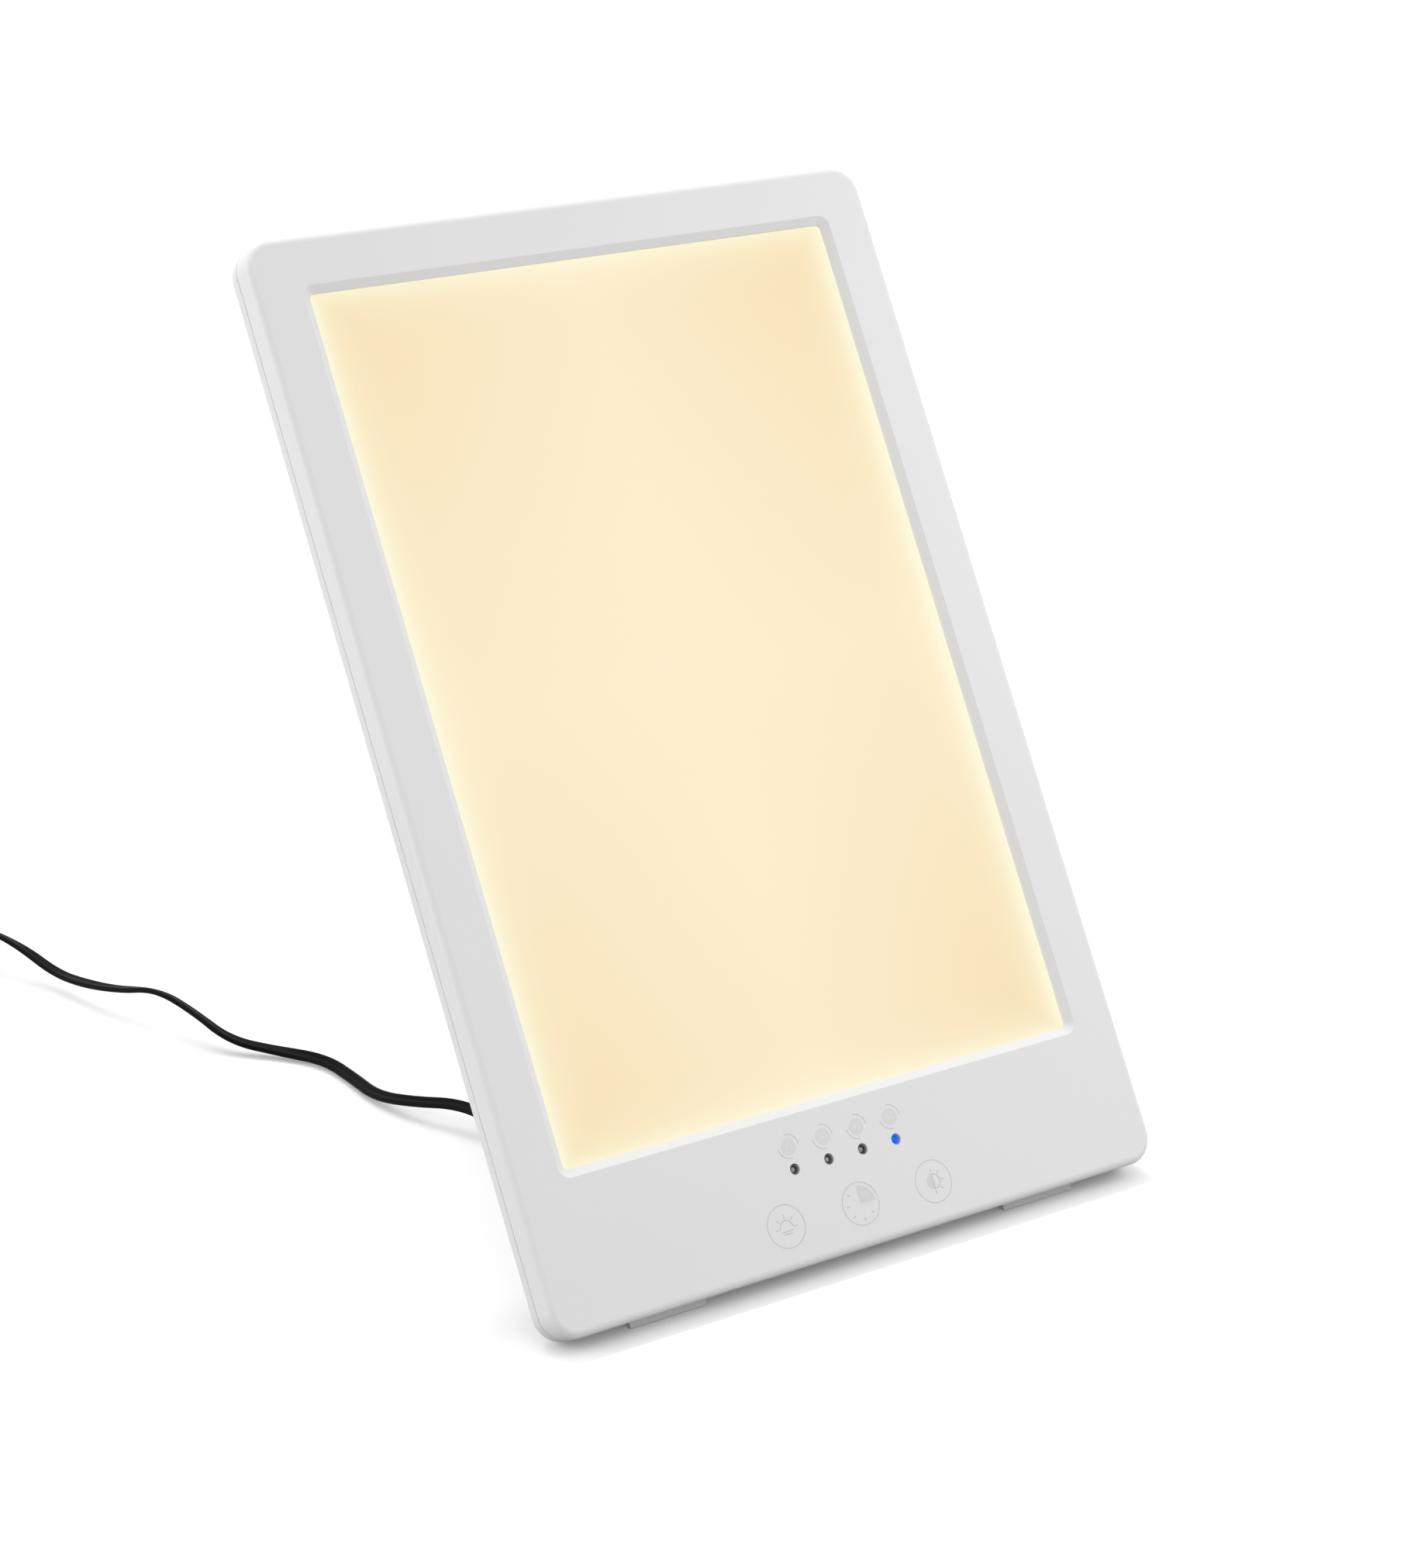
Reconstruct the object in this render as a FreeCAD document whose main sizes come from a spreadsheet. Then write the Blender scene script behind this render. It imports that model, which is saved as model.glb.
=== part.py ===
import FreeCAD, Part
import math
import os
import re

import Sketcher

# Light therapy lamp
# A slim upright light panel that leans back on a fold-out stand, with a recessed
# edge-lit window, four timer lights, three touch marks and a flat low-voltage lead.
# Lengths are in millimetres and angles in degrees.
#
# The panel is drawn in its own frame and then leaned back as one. There X runs across
# the panel from its middle, Y runs up it from its lower edge, and Z points out of the
# lit face, so a depth behind the face is a negative Z.

Vector = FreeCAD.Vector
Placement = FreeCAD.Placement
Rotation = FreeCAD.Rotation

document = FreeCAD.newDocument("LightTherapyLamp")
sheet = document.addObject("Spreadsheet::Sheet", "Sizes")

SIZES = [
    # Outer form
    ("panel_width", 200, "across the housing"),
    ("panel_height", 300, "up the housing"),
    ("panel_depth", 12.4, "housing at its edge, front to back"),
    ("corner_radius", 8, "corners of the outline"),
    ("face_rounding", 2, "edge round the face"),
    ("back_rounding", 3, "edge round the back"),
    ("lean_angle", 30.4, "panel back from upright, as it stands"),
    ("front_shell_depth", 6.8, "front shell, face to parting line"),
    ("shell_gap", 0.25, "shadow line between the shells"),
    ("front_wall", 2.2, "wall behind the face"),
    ("side_wall", 2, "wall round the edge"),
    ("back_wall", 2, "wall at the back"),
    ("tongue_height", 1.2, "rear shell's tongue inside the front shell"),
    ("fit_clearance", 0.1, "play between fitted pieces"),
    # Window
    ("side_bezel", 14.1, "face beside the window"),
    ("top_bezel", 14.1, "face above the window"),
    ("bottom_bezel", 40, "face below the window"),
    ("lip_radius", 3.5, "corners of the window at the face"),
    ("foot_radius", 1.6, "corners of the window at the foot of its bevel"),
    ("bevel_width", 2.2, "sloping wall of the window, seen from the front"),
    ("bevel_depth", 1.3, "sloping wall of the window, front to back"),
    # Lit stack
    ("sheet_overlap", 2, "sheets past the window on each side"),
    ("seal_thickness", 0.3, "foam between shell and diffuser"),
    ("seal_width", 2.5, "foam, across its band"),
    ("diffuser_thickness", 1.5, "opal sheet"),
    ("guide_thickness", 2.5, "clear light guide"),
    ("reflector_thickness", 0.3, "white film behind the guide"),
    ("tray_thickness", 0.8, "aluminium tray that spreads the heat"),
    ("strip_board", 0.8, "circuit board of a light strip"),
    ("strip_light", 0.7, "light package standing off its board"),
    ("light_length", 3, "light package along the strip"),
    ("light_height", 1.4, "light package front to back"),
    ("light_pitch", 15, "light package to light package"),
    # Back hump and stand recess
    ("hump_width", 128, "raised middle of the back"),
    ("hump_bottom", 12, "lower edge of the hump above the panel's edge"),
    ("hump_height", 184, "hump up the panel"),
    ("hump_depth", 5, "hump behind the panel's back"),
    ("hump_slope", 5, "hump's sloping side, seen from the back"),
    ("hump_radius", 12, "corners of the hump"),
    ("hump_wall", 2, "wall of the hump"),
    ("recess_floor", 1.6, "wall left in front of the folded stand"),
    ("recess_radius", 2, "lower corners of the stand recess"),
    ("scoop_reach", 4, "stand recess below the hump, for a finger"),
    ("vent_bottom", 216, "lowest vent above the panel's edge"),
    ("vent_pitch", 9, "vent to vent"),
    ("vent_length", 44, "vent across the panel"),
    ("vent_width", 2.4, "vent up the panel"),
    # Stand
    ("stand_width", 66, "stand at its hinge"),
    ("stand_tip_width", 56, "stand at its foot"),
    ("stand_thickness", 4.4, "stand's plate"),
    ("stand_clearance", 0.5, "stand to the sides of its recess"),
    ("open_angle", 49, "stand from folded to open"),
    ("pivot_height", 172, "hinge above the panel's edge"),
    ("barrel_radius", 2.6, "stand's hinge barrel"),
    ("barrel_clearance", 0.2, "barrel to the recess floor"),
    ("stop_clearance", 0.02, "open stand's heel to the recess floor"),
    ("heel_room", 0.5, "stop heel to the end of the recess"),
    ("stand_pocket_depth", 1.6, "lightening pockets in the stand"),
    ("stand_rib", 3, "ribs round the pockets"),
    ("pin_radius", 1, "steel hinge pins"),
    ("pin_grip", 9, "pin inside the stand's barrel"),
    ("bush_radius", 1.6, "nylon bushes round the pins"),
    ("washer_radius", 2.4, "friction washers"),
    ("washer_thickness", 0.4, "friction washers"),
    ("shoe_length", 4, "rubber shoe on the stand's foot"),
    # Feet
    ("foot_length", 24, "rubber foot along the edge"),
    ("foot_depth", 3, "rubber foot front to back"),
    ("foot_offset", 8.2, "rubber foot behind the face"),
    ("foot_side", 62, "rubber foot from the middle"),
    ("foot_seat", 1, "rubber foot let into the housing"),
    ("foot_lift", 0.5, "housing's lowest edge above the surface"),
    # Fasteners
    ("screw_inset", 6, "housing screws in from the outline"),
    ("boss_radius", 2.8, "screw bosses"),
    ("screw_shank", 1.2, "housing screw, radius"),
    ("screw_head", 2.2, "housing screw head, radius"),
    ("screw_head_height", 1.6, "housing screw head"),
    ("screw_length", 7.2, "housing screw under its head"),
    ("thread_bite", 0.05, "pilot holes and threads under the nominal radius"),
    ("counterbore_radius", 2.5, "hole for the screw head"),
    ("counterbore_depth", 2.6, "hole for the screw head"),
    ("board_screw_shank", 0.9, "board screw, radius"),
    ("board_screw_head", 1.8, "board screw head, radius"),
    ("board_screw_length", 3.2, "board screw under its head"),
    # Controls
    ("board_width", 110, "control board across"),
    ("board_height", 26, "control board up"),
    ("board_bottom", 6.6, "control board above the panel's edge"),
    ("board_depth", 5, "control board behind the face"),
    ("board_thickness", 1.2, "control board"),
    ("board_screw_side", 52, "board screw from the middle"),
    ("component_height", 1.6, "parts on the back of the control board"),
    ("timer_pitch", 11.25, "timer light to timer light"),
    ("timer_height", 25.7, "timer lights above the panel's edge"),
    ("timer_hole", 1.55, "holes for the timer lights, radius"),
    ("timer_collar", 1.45, "dark collar in each hole, radius"),
    ("timer_lens", 1.1, "timer light's lens, radius"),
    ("collar_depth", 0.7, "collar below the face"),
    ("lens_depth", 0.9, "top of the lens below the face"),
    ("holder_margin", 4, "light holder past the outer lights"),
    ("holder_height", 6.4, "light holder up the panel"),
    ("touch_pitch", 24.6, "touch mark to touch mark"),
    ("touch_height", 11.8, "touch springs above the panel's edge"),
    ("touch_spring_radius", 4.6, "touch springs, outside"),
    ("touch_spring_wall", 0.7, "touch springs, wall"),
    # Power socket and plug
    ("jack_side", -45, "socket from the middle"),
    ("jack_height", 27, "socket above the panel's edge"),
    ("jack_width", 9, "socket body across"),
    ("jack_body", 10.4, "socket body up"),
    ("jack_bore", 2.95, "socket bore, radius"),
    ("jack_pin", 1, "socket pin, radius"),
    ("jack_floor", 0.6, "socket body below its bore"),
    ("jack_hole", 3.4, "hole in the hump for the plug, radius"),
    ("plug_radius", 4.7, "plug's grip"),
    ("plug_length", 15, "plug's grip"),
    ("plug_waist", 0.5, "plug's finger groove, depth"),
    ("barrel_length", 9.5, "plug's metal barrel"),
    ("plug_barrel", 2.75, "plug's metal barrel, radius"),
    ("plug_bore", 1.15, "bore of the barrel, radius"),
    ("relief_length", 9, "tapered strain relief"),
    ("relief_root", 3.4, "strain relief at the plug, radius"),
    ("relief_tip", 2.3, "strain relief at the cord, radius"),
    # Cord and coil
    ("cord_radius", 1.9, "half of the cord's width"),
    ("coil_outer", 28, "outermost turn, radius"),
    ("coil_inner", 14.8, "innermost turn, radius"),
    ("coil_pitch", 4.4, "turn to turn and layer to layer"),
    ("coil_lift", 0.9, "coil above the surface, on its tie"),
    ("tie_width", 6, "tie round the coil"),
    ("tie_thickness", 0.6, "tie round the coil"),
    # Wall adapter
    ("adapter_width", 38, "adapter across"),
    ("adapter_length", 58, "adapter along"),
    ("adapter_height", 27, "adapter up"),
    ("adapter_radius", 5, "adapter's corners"),
    ("adapter_cover", 9, "cover, along the adapter"),
    ("blade_width", 6.3, "mains blade"),
    ("blade_thickness", 1.5, "mains blade"),
    ("blade_length", 17, "mains blade"),
    ("blade_spacing", 12.7, "blade to blade"),
]

NAMES = {alias for alias, value, note in SIZES}


def fill_sheet():
    for row, (alias, value, note) in enumerate(SIZES, start=1):
        sheet.set(f"A{row}", alias)
        sheet.set(f"B{row}", str(value))
        sheet.set(f"C{row}", note)
        sheet.setAlias(f"B{row}", alias)
    document.recompute()


fill_sheet()


# Formulas
# A formula is written with the plain names of the sizes, such as "panel_width / 2".


def linked(formula):
    """The formula with each size's name pointed at its cell."""
    return re.sub(r"[a-z_]+", lambda word: "Sizes." + word.group() if word.group() in NAMES else word.group(), formula)


def number(formula):
    """What a formula comes to now."""
    return float(sheet.evalExpression(linked(formula)))


def bind(feature, path, formula):
    feature.setExpression(path, linked(formula))


LEAN = math.radians(number("lean_angle"))
OPEN = math.radians(number("open_angle"))

# Depths behind the face that several pieces share
SEAL_BACK = "(front_wall + seal_thickness)"
DIFFUSER_BACK = f"({SEAL_BACK} + diffuser_thickness)"
GUIDE_BACK = f"({DIFFUSER_BACK} + guide_thickness)"
REFLECTOR_BACK = f"({GUIDE_BACK} + reflector_thickness)"
TRAY_BACK = f"({REFLECTOR_BACK} + tray_thickness)"
INNER_BACK = "(panel_depth - back_wall)"
HUMP_BACK = "(panel_depth + hump_depth)"
RECESS_FLOOR = f"({INNER_BACK} + recess_floor)"
PIVOT_DEPTH = f"({RECESS_FLOOR} + barrel_clearance + barrel_radius)"
FLOOR_REACH = "(barrel_clearance + barrel_radius - stop_clearance)"
BOARD_BACK = "(board_depth + board_thickness)"

# Outlines that several pieces share
WINDOW_WIDTH = "(panel_width - 2 * side_bezel)"
WINDOW_HEIGHT = "(panel_height - top_bezel - bottom_bezel)"
SHEET_WIDTH = f"({WINDOW_WIDTH} + 2 * sheet_overlap)"
SHEET_HEIGHT = f"({WINDOW_HEIGHT} + 2 * sheet_overlap)"
SHEET_BOTTOM = "(bottom_bezel - sheet_overlap)"
STRIP_ROOM = "(strip_board + strip_light + fit_clearance)"
RECESS_WIDTH = "(stand_width + 2 * stand_clearance)"
RECESS_BOTTOM = "(hump_bottom - scoop_reach)"

# How the panel stands: its rounded lower back edge clears the surface by the lift
BACK_EDGE = number("back_rounding")
PANEL_LIFT = (BACK_EDGE + (number("panel_depth") - BACK_EDGE) * math.sin(LEAN)
              - BACK_EDGE * math.cos(LEAN) + number("foot_lift"))
FACE_EDGE = number("face_rounding")
FRONT_REACH = FACE_EDGE * (math.sin(LEAN) + math.cos(LEAN)) - FACE_EDGE
BACK_REACH = ((number("panel_height") - BACK_EDGE) * math.sin(LEAN)
              + (number("panel_depth") - BACK_EDGE) * math.cos(LEAN) + BACK_EDGE)
PANEL = Placement(Vector(0, -(FRONT_REACH + BACK_REACH) / 2, PANEL_LIFT),
                  Rotation(Vector(1, 0, 0), 90 - number("lean_angle")))

# The stand's frame has its origin on the hinge axis, and the folded stand runs down -Y
HINGE = Placement(Vector(0, number("pivot_height"), -number(PIVOT_DEPTH)), Rotation())
STAND_TURN = Placement(Vector(), Rotation(Vector(1, 0, 0), number("open_angle")))
STAND = PANEL.multiply(HINGE).multiply(STAND_TURN)
STAND_LEAN = OPEN - LEAN
STAND_REACH = STAND.Base.z / math.cos(STAND_LEAN)
SHOE_EDGE = number("stand_thickness") / 2 * math.tan(STAND_LEAN)
PLATE_LENGTH = STAND_REACH - SHOE_EDGE - number("shoe_length")


# Sketches and features


def new_body(name):
    body = document.addObject("PartDesign::Body", name)
    body.Label = name
    return body


def origin_piece(body, role):
    return next(item for item in body.Origin.OriginFeatures if item.Role == role)


def new_sketch(body, name, depth="0", plane="XY_Plane"):
    """A sketch parallel to an origin plane, at a depth behind it."""
    sketch = body.newObject("Sketcher::SketchObject", name)
    sketch.AttachmentSupport = [(origin_piece(body, plane), "")]
    sketch.MapMode = "FlatFace"
    bind(sketch, "AttachmentOffset.Base.z", f"-({depth})")
    return sketch


def hold(sketch, kind, items, formula):
    """A distance or radius that follows a formula."""
    value = number(formula)
    constraint = sketch.addConstraint(Sketcher.Constraint(kind, *items, value))
    bind(sketch, f"Constraints[{constraint}]", formula)


def rectangle(sketch, width, height, bottom, centre="0", radius=None):
    """A rectangle with its lower edge at bottom, its corners rounded if radius is given."""
    half, tall, low = number(width) / 2, number(height), number(bottom)
    middle = number(centre)
    corner = number(radius) if radius else 0
    left, right, top = middle - half, middle + half, low + tall
    ends = [
        (left + corner, low, right - corner, low),
        (right, low + corner, right, top - corner),
        (right - corner, top, left + corner, top),
        (left, top - corner, left, low + corner),
    ]
    lines = [sketch.addGeometry(Part.LineSegment(Vector(a, b, 0), Vector(c, d, 0)), False)
             for a, b, c, d in ends]
    if radius:
        centres = [(right - corner, low + corner), (right - corner, top - corner),
                   (left + corner, top - corner), (left + corner, low + corner)]
        arcs = []
        for quarter, (x, y) in enumerate(centres):
            circle = Part.Circle(Vector(x, y, 0), Vector(0, 0, 1), corner)
            start = (quarter - 1) * math.pi / 2
            arcs.append(sketch.addGeometry(Part.ArcOfCircle(circle, start, start + math.pi / 2), False))
        for side in range(4):
            sketch.addConstraint(Sketcher.Constraint("Tangent", lines[side], 2, arcs[side], 1))
            sketch.addConstraint(Sketcher.Constraint("Tangent", arcs[side], 2, lines[(side + 1) % 4], 1))
        for side in range(3):
            sketch.addConstraint(Sketcher.Constraint("Equal", arcs[side], arcs[side + 1]))
        hold(sketch, "Radius", (arcs[0],), radius)
    else:
        for side in range(4):
            sketch.addConstraint(Sketcher.Constraint("Coincident", lines[side], 2, lines[(side + 1) % 4], 1))
    for side, direction in enumerate(("Horizontal", "Vertical", "Horizontal", "Vertical")):
        sketch.addConstraint(Sketcher.Constraint(direction, lines[side]))
    hold(sketch, "DistanceX", (-1, 1, lines[1], 1), f"{centre} + {width} / 2")
    hold(sketch, "DistanceX", (lines[3], 1, lines[1], 1), width)
    hold(sketch, "DistanceY", (-1, 1, lines[0], 1), bottom)
    hold(sketch, "DistanceY", (lines[0], 1, lines[2], 1), height)


def circle(sketch, x, y, radius):
    round_line = Part.Circle(Vector(number(x), number(y), 0), Vector(0, 0, 1), number(radius))
    item = sketch.addGeometry(round_line, False)
    hold(sketch, "Radius", (item,), radius)
    hold(sketch, "DistanceX", (-1, 1, item, 3), x)
    hold(sketch, "DistanceY", (-1, 1, item, 3), y)


def polygon(sketch, corners):
    """A closed outline through corners given as pairs of formulas."""
    spots = [Vector(number(x), number(y), 0) for x, y in corners]
    lines = []
    for index, spot in enumerate(spots):
        following = spots[(index + 1) % len(spots)]
        lines.append(sketch.addGeometry(Part.LineSegment(spot, following), False))
    for index, line in enumerate(lines):
        following = lines[(index + 1) % len(lines)]
        sketch.addConstraint(Sketcher.Constraint("Coincident", line, 2, following, 1))
    for line, (x, y) in zip(lines, corners):
        hold(sketch, "DistanceX", (-1, 1, line, 1), x)
        hold(sketch, "DistanceY", (-1, 1, line, 1), y)


def sweep_feature(body, kind, sketch, name, length, forward, both_ways):
    feature = body.newObject(f"PartDesign::{kind}", name)
    feature.Profile = sketch
    bind(feature, "Length", length)
    if both_ways:
        feature.SideType = "Symmetric"
    feature.Reversed = forward if kind == "Pocket" else not forward
    sketch.Visibility = False
    return feature


def pad(body, sketch, name, length, forward=False, both_ways=False):
    """Material from the sketch towards the back, or forward towards the face."""
    return sweep_feature(body, "Pad", sketch, name, length, forward, both_ways)


def pocket(body, sketch, name, length, forward=False, both_ways=False):
    """A cut from the sketch towards the back, or forward towards the face."""
    return sweep_feature(body, "Pocket", sketch, name, length, forward, both_ways)


def loft(body, kind, name, first, second):
    feature = body.newObject(f"PartDesign::{kind}Loft", name)
    feature.Profile = first
    feature.Sections = [second]
    feature.Ruled = True
    return feature


def fillet(body, base, name, radius, wanted):
    """Rounds the edges of base that wanted(edge) picks."""
    document.recompute()
    edges = [f"Edge{index}" for index, edge in enumerate(base.Shape.Edges, start=1) if wanted(edge)]
    feature = body.newObject("PartDesign::Fillet", name)
    feature.Base = (base, edges)
    bind(feature, "Radius", radius)
    return feature


def at_depth(depth):
    """Picks the edges that lie flat at one depth behind the face."""
    level = -number(depth)
    return lambda edge: all(abs(point.z - level) < 1e-4 for point in edge.discretize(5))


def ring_sketch(body, name, depth, width, height, bottom, band, radius):
    """A frame-shaped outline, its band measured inward."""
    sketch = new_sketch(body, name, depth)
    rectangle(sketch, width, height, bottom, radius=radius)
    rectangle(sketch, f"({width} - 2 * {band})", f"({height} - 2 * {band})", f"({bottom} + {band})",
              radius=f"({radius} - {band})" if radius else None)
    return sketch


def screw_spots():
    """The housing screws: one in each corner and two up each side."""
    side = "(panel_width / 2 - screw_inset)"
    heights = ["screw_inset", "panel_height / 3", "panel_height * 2 / 3", "(panel_height - screw_inset)"]
    return [(f"{sign}{side}", height) for sign in ("-", "") for height in heights]


def board_screw_spots():
    lower = "(board_bottom + 3)"
    upper = "(board_bottom + board_height - 3)"
    return [(f"{sign}board_screw_side", height) for sign in ("-", "") for height in (lower, upper)]


TIMERS = (15, 30, 45, 60)


def timer_side(index):
    return f"({index - 1.5} * timer_pitch)"


# Front shell
# A shallow tray with the window cut through its face, the window's bevelled wall,
# the timer holes, and bosses for the housing and board screws.


def front_shell():
    body = new_body("front_shell")
    outline = new_sketch(body, "front_outline")
    rectangle(outline, "panel_width", "panel_height", "0", radius="corner_radius")
    block = pad(body, outline, "front_block", "front_shell_depth")
    rounded = fillet(body, block, "face_edge", "face_rounding", at_depth("0"))

    hollow = new_sketch(body, "front_hollow", "front_wall")
    rectangle(hollow, "(panel_width - 2 * side_wall)", "(panel_height - 2 * side_wall)", "side_wall",
              radius="(corner_radius - side_wall)")
    pocket(body, hollow, "front_cavity", "(front_shell_depth - front_wall)")

    rebate = new_sketch(body, "rebate_outline", "(front_shell_depth - tongue_height - fit_clearance)")
    rectangle(rebate, "(panel_width - side_wall)", "(panel_height - side_wall)", "side_wall / 2",
              radius="(corner_radius - side_wall / 2)")
    pocket(body, rebate, "tongue_rebate", "(tongue_height + fit_clearance)")

    bosses = new_sketch(body, "boss_circles", "front_wall - 0.2")
    for x, y in screw_spots():
        circle(bosses, x, y, "boss_radius")
    pad(body, bosses, "housing_bosses", "(front_shell_depth - front_wall + 0.2)")
    pilots = new_sketch(body, "pilot_circles", "front_shell_depth")
    for x, y in screw_spots():
        circle(pilots, x, y, "(screw_shank - thread_bite)")
    pocket(body, pilots, "housing_pilots", "(front_shell_depth - front_wall - 0.2)", forward=True)

    board_bosses = new_sketch(body, "board_boss_circles", "front_wall - 0.2")
    for x, y in board_screw_spots():
        circle(board_bosses, x, y, "(boss_radius - 0.4)")
    pad(body, board_bosses, "board_bosses", "(board_depth - front_wall + 0.2)")
    board_pilots = new_sketch(body, "board_pilot_circles", "board_depth")
    for x, y in board_screw_spots():
        circle(board_pilots, x, y, "(board_screw_shank - thread_bite)")
    pocket(body, board_pilots, "board_pilots", "(board_screw_length - board_thickness + 0.2)", forward=True)

    lip = new_sketch(body, "window_lip")
    rectangle(lip, WINDOW_WIDTH, WINDOW_HEIGHT, "bottom_bezel", radius="lip_radius")
    foot_width = f"({WINDOW_WIDTH} - 2 * bevel_width)"
    foot_height = f"({WINDOW_HEIGHT} - 2 * bevel_width)"
    foot = new_sketch(body, "window_foot", "bevel_depth")
    rectangle(foot, foot_width, foot_height, "(bottom_bezel + bevel_width)", radius="foot_radius")
    loft(body, "Subtractive", "window_bevel", lip, foot)
    opening = new_sketch(body, "window_opening", "bevel_depth")
    rectangle(opening, foot_width, foot_height, "(bottom_bezel + bevel_width)", radius="foot_radius")
    pocket(body, opening, "window", "front_shell_depth")

    holes = new_sketch(body, "timer_circles")
    for index in range(len(TIMERS)):
        circle(holes, timer_side(index), "timer_height", "timer_hole")
    pocket(body, holes, "timer_holes", "front_shell_depth")
    return body, PANEL


# Rear shell
# The back half of the housing: a tray with a raised hump that holds the stand's recess,
# the hinge bores, the power socket's hole, vents, bosses and ribs.


def rear_shell():
    body = new_body("rear_shell")
    start = "(front_shell_depth + shell_gap)"
    outline = new_sketch(body, "rear_outline", start)
    rectangle(outline, "panel_width", "panel_height", "0", radius="corner_radius")
    block = pad(body, outline, "rear_block", f"(panel_depth - {start})")
    fillet(body, block, "back_edge", "back_rounding", at_depth("panel_depth"))

    hump_foot = new_sketch(body, "hump_foot", "panel_depth")
    rectangle(hump_foot, "hump_width", "hump_height", "hump_bottom", radius="hump_radius")
    hump_top = new_sketch(body, "hump_top", HUMP_BACK)
    rectangle(hump_top, "(hump_width - 2 * hump_slope)", "(hump_height - 2 * hump_slope)",
              "(hump_bottom + hump_slope)", radius="(hump_radius - hump_slope)")
    loft(body, "Additive", "hump", hump_foot, hump_top)

    hollow = new_sketch(body, "rear_hollow", INNER_BACK)
    rectangle(hollow, "(panel_width - 2 * side_wall)", "(panel_height - 2 * side_wall)", "side_wall",
              radius="(corner_radius - side_wall)")
    pocket(body, hollow, "rear_cavity", f"({INNER_BACK} - {start})", forward=True)

    # Room under the hump on each side of the recess, for the socket and the leads
    chamber_width = f"((hump_width - 2 * hump_slope - {RECESS_WIDTH}) / 2 - 2 * hump_wall - 1)"
    chamber_side = f"(({RECESS_WIDTH} + hump_width - 2 * hump_slope) / 4 + 0.5)"
    for side, sign in (("left", "-"), ("right", "")):
        chamber = new_sketch(body, f"{side}_chamber_outline", f"({HUMP_BACK} - hump_wall)")
        rectangle(chamber, chamber_width, "(hump_height - 2 * hump_slope - 2 * hump_wall)",
                  "(hump_bottom + hump_slope + hump_wall)", centre=f"{sign}{chamber_side}",
                  radius="recess_radius")
        pocket(body, chamber, f"{side}_chamber", f"({HUMP_BACK} - hump_wall - {INNER_BACK})", forward=True)

    tongue = ring_sketch(body, "tongue_outline", start,
                         "(panel_width - side_wall - 2 * fit_clearance)",
                         "(panel_height - side_wall - 2 * fit_clearance)",
                         "(side_wall / 2 + fit_clearance)", "(side_wall / 2 - fit_clearance)",
                         "(corner_radius - side_wall / 2 - fit_clearance)")
    pad(body, tongue, "tongue", "(tongue_height + shell_gap)", forward=True)

    bosses = new_sketch(body, "rear_boss_circles", f"{INNER_BACK} + 0.2")
    for x, y in screw_spots():
        circle(bosses, x, y, "boss_radius")
    pad(body, bosses, "rear_bosses", f"({INNER_BACK} + 0.2 - front_shell_depth - fit_clearance)", forward=True)
    clearances = new_sketch(body, "clearance_circles", "panel_depth")
    for x, y in screw_spots():
        circle(clearances, x, y, "(screw_shank + 0.2)")
    pocket(body, clearances, "screw_clearances", "(panel_depth - front_shell_depth)", forward=True)
    heads = new_sketch(body, "head_circles", "panel_depth")
    for x, y in screw_spots():
        circle(heads, x, y, "counterbore_radius")
    pocket(body, heads, "screw_counterbores", "counterbore_depth", forward=True)

    # Long ribs that carry the heat tray
    ribs = new_sketch(body, "rib_outline", f"{INNER_BACK} + 0.2")
    for sign in ("-", ""):
        rectangle(ribs, "1.6", f"({SHEET_HEIGHT} - 20)", f"({SHEET_BOTTOM} + 10)",
                  centre=f"{sign}({SHEET_WIDTH} / 2 - 8)")
    pad(body, ribs, "tray_ribs", f"({INNER_BACK} + 0.2 - {TRAY_BACK} - fit_clearance)", forward=True)

    recess = new_sketch(body, "recess_outline", HUMP_BACK)
    recess_top = f"(pivot_height + {HEEL_RADIUS} + heel_room)"
    rectangle(recess, RECESS_WIDTH, f"({recess_top} - {RECESS_BOTTOM})", RECESS_BOTTOM,
              radius="recess_radius")
    pocket(body, recess, "stand_recess", f"({HUMP_BACK} - {RECESS_FLOOR})", forward=True)

    hinge = new_sketch(body, "hinge_circle", plane="YZ_Plane")
    circle(hinge, "pivot_height", f"-{PIVOT_DEPTH}", "(bush_radius + 0.02)")
    pocket(body, hinge, "hinge_bores", f"({RECESS_WIDTH} + 2 * hump_wall + 2)", both_ways=True)

    socket = new_sketch(body, "socket_circle", HUMP_BACK)
    circle(socket, "jack_side", "jack_height", "jack_hole")
    pocket(body, socket, "socket_hole", "(hump_wall + 1)", forward=True)

    vents = new_sketch(body, "vent_outline", "panel_depth")
    rectangle(vents, "vent_length", "vent_width", "vent_bottom", radius="(vent_width / 2 - 0.05)")
    vent = pocket(body, vents, "vent", "back_wall", forward=True)
    row = body.newObject("PartDesign::LinearPattern", "vent_row")
    row.Originals = [vent]
    row.Direction = (origin_piece(body, "Y_Axis"), [""])
    row.Occurrences = 7
    bind(row, "Length", "6 * vent_pitch")
    body.Tip = row

    seats = new_sketch(body, "foot_seats", "foot_offset - fit_clearance")
    for sign in ("-", ""):
        rectangle(seats, "(foot_length + 2 * fit_clearance)", "(foot_seat + 1)", "-1", centre=f"{sign}foot_side")
    pocket(body, seats, "foot_pockets", "(foot_depth + 2 * fit_clearance)")
    return body, PANEL


# Lit stack


def flat_sheet(name, depth, thickness):
    """One sheet of the stack, a little wider than the window."""
    body = new_body(name)
    outline = new_sketch(body, f"{name}_outline", depth)
    rectangle(outline, SHEET_WIDTH, SHEET_HEIGHT, SHEET_BOTTOM)
    pad(body, outline, f"{name}_sheet", thickness)
    return body, PANEL


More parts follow.
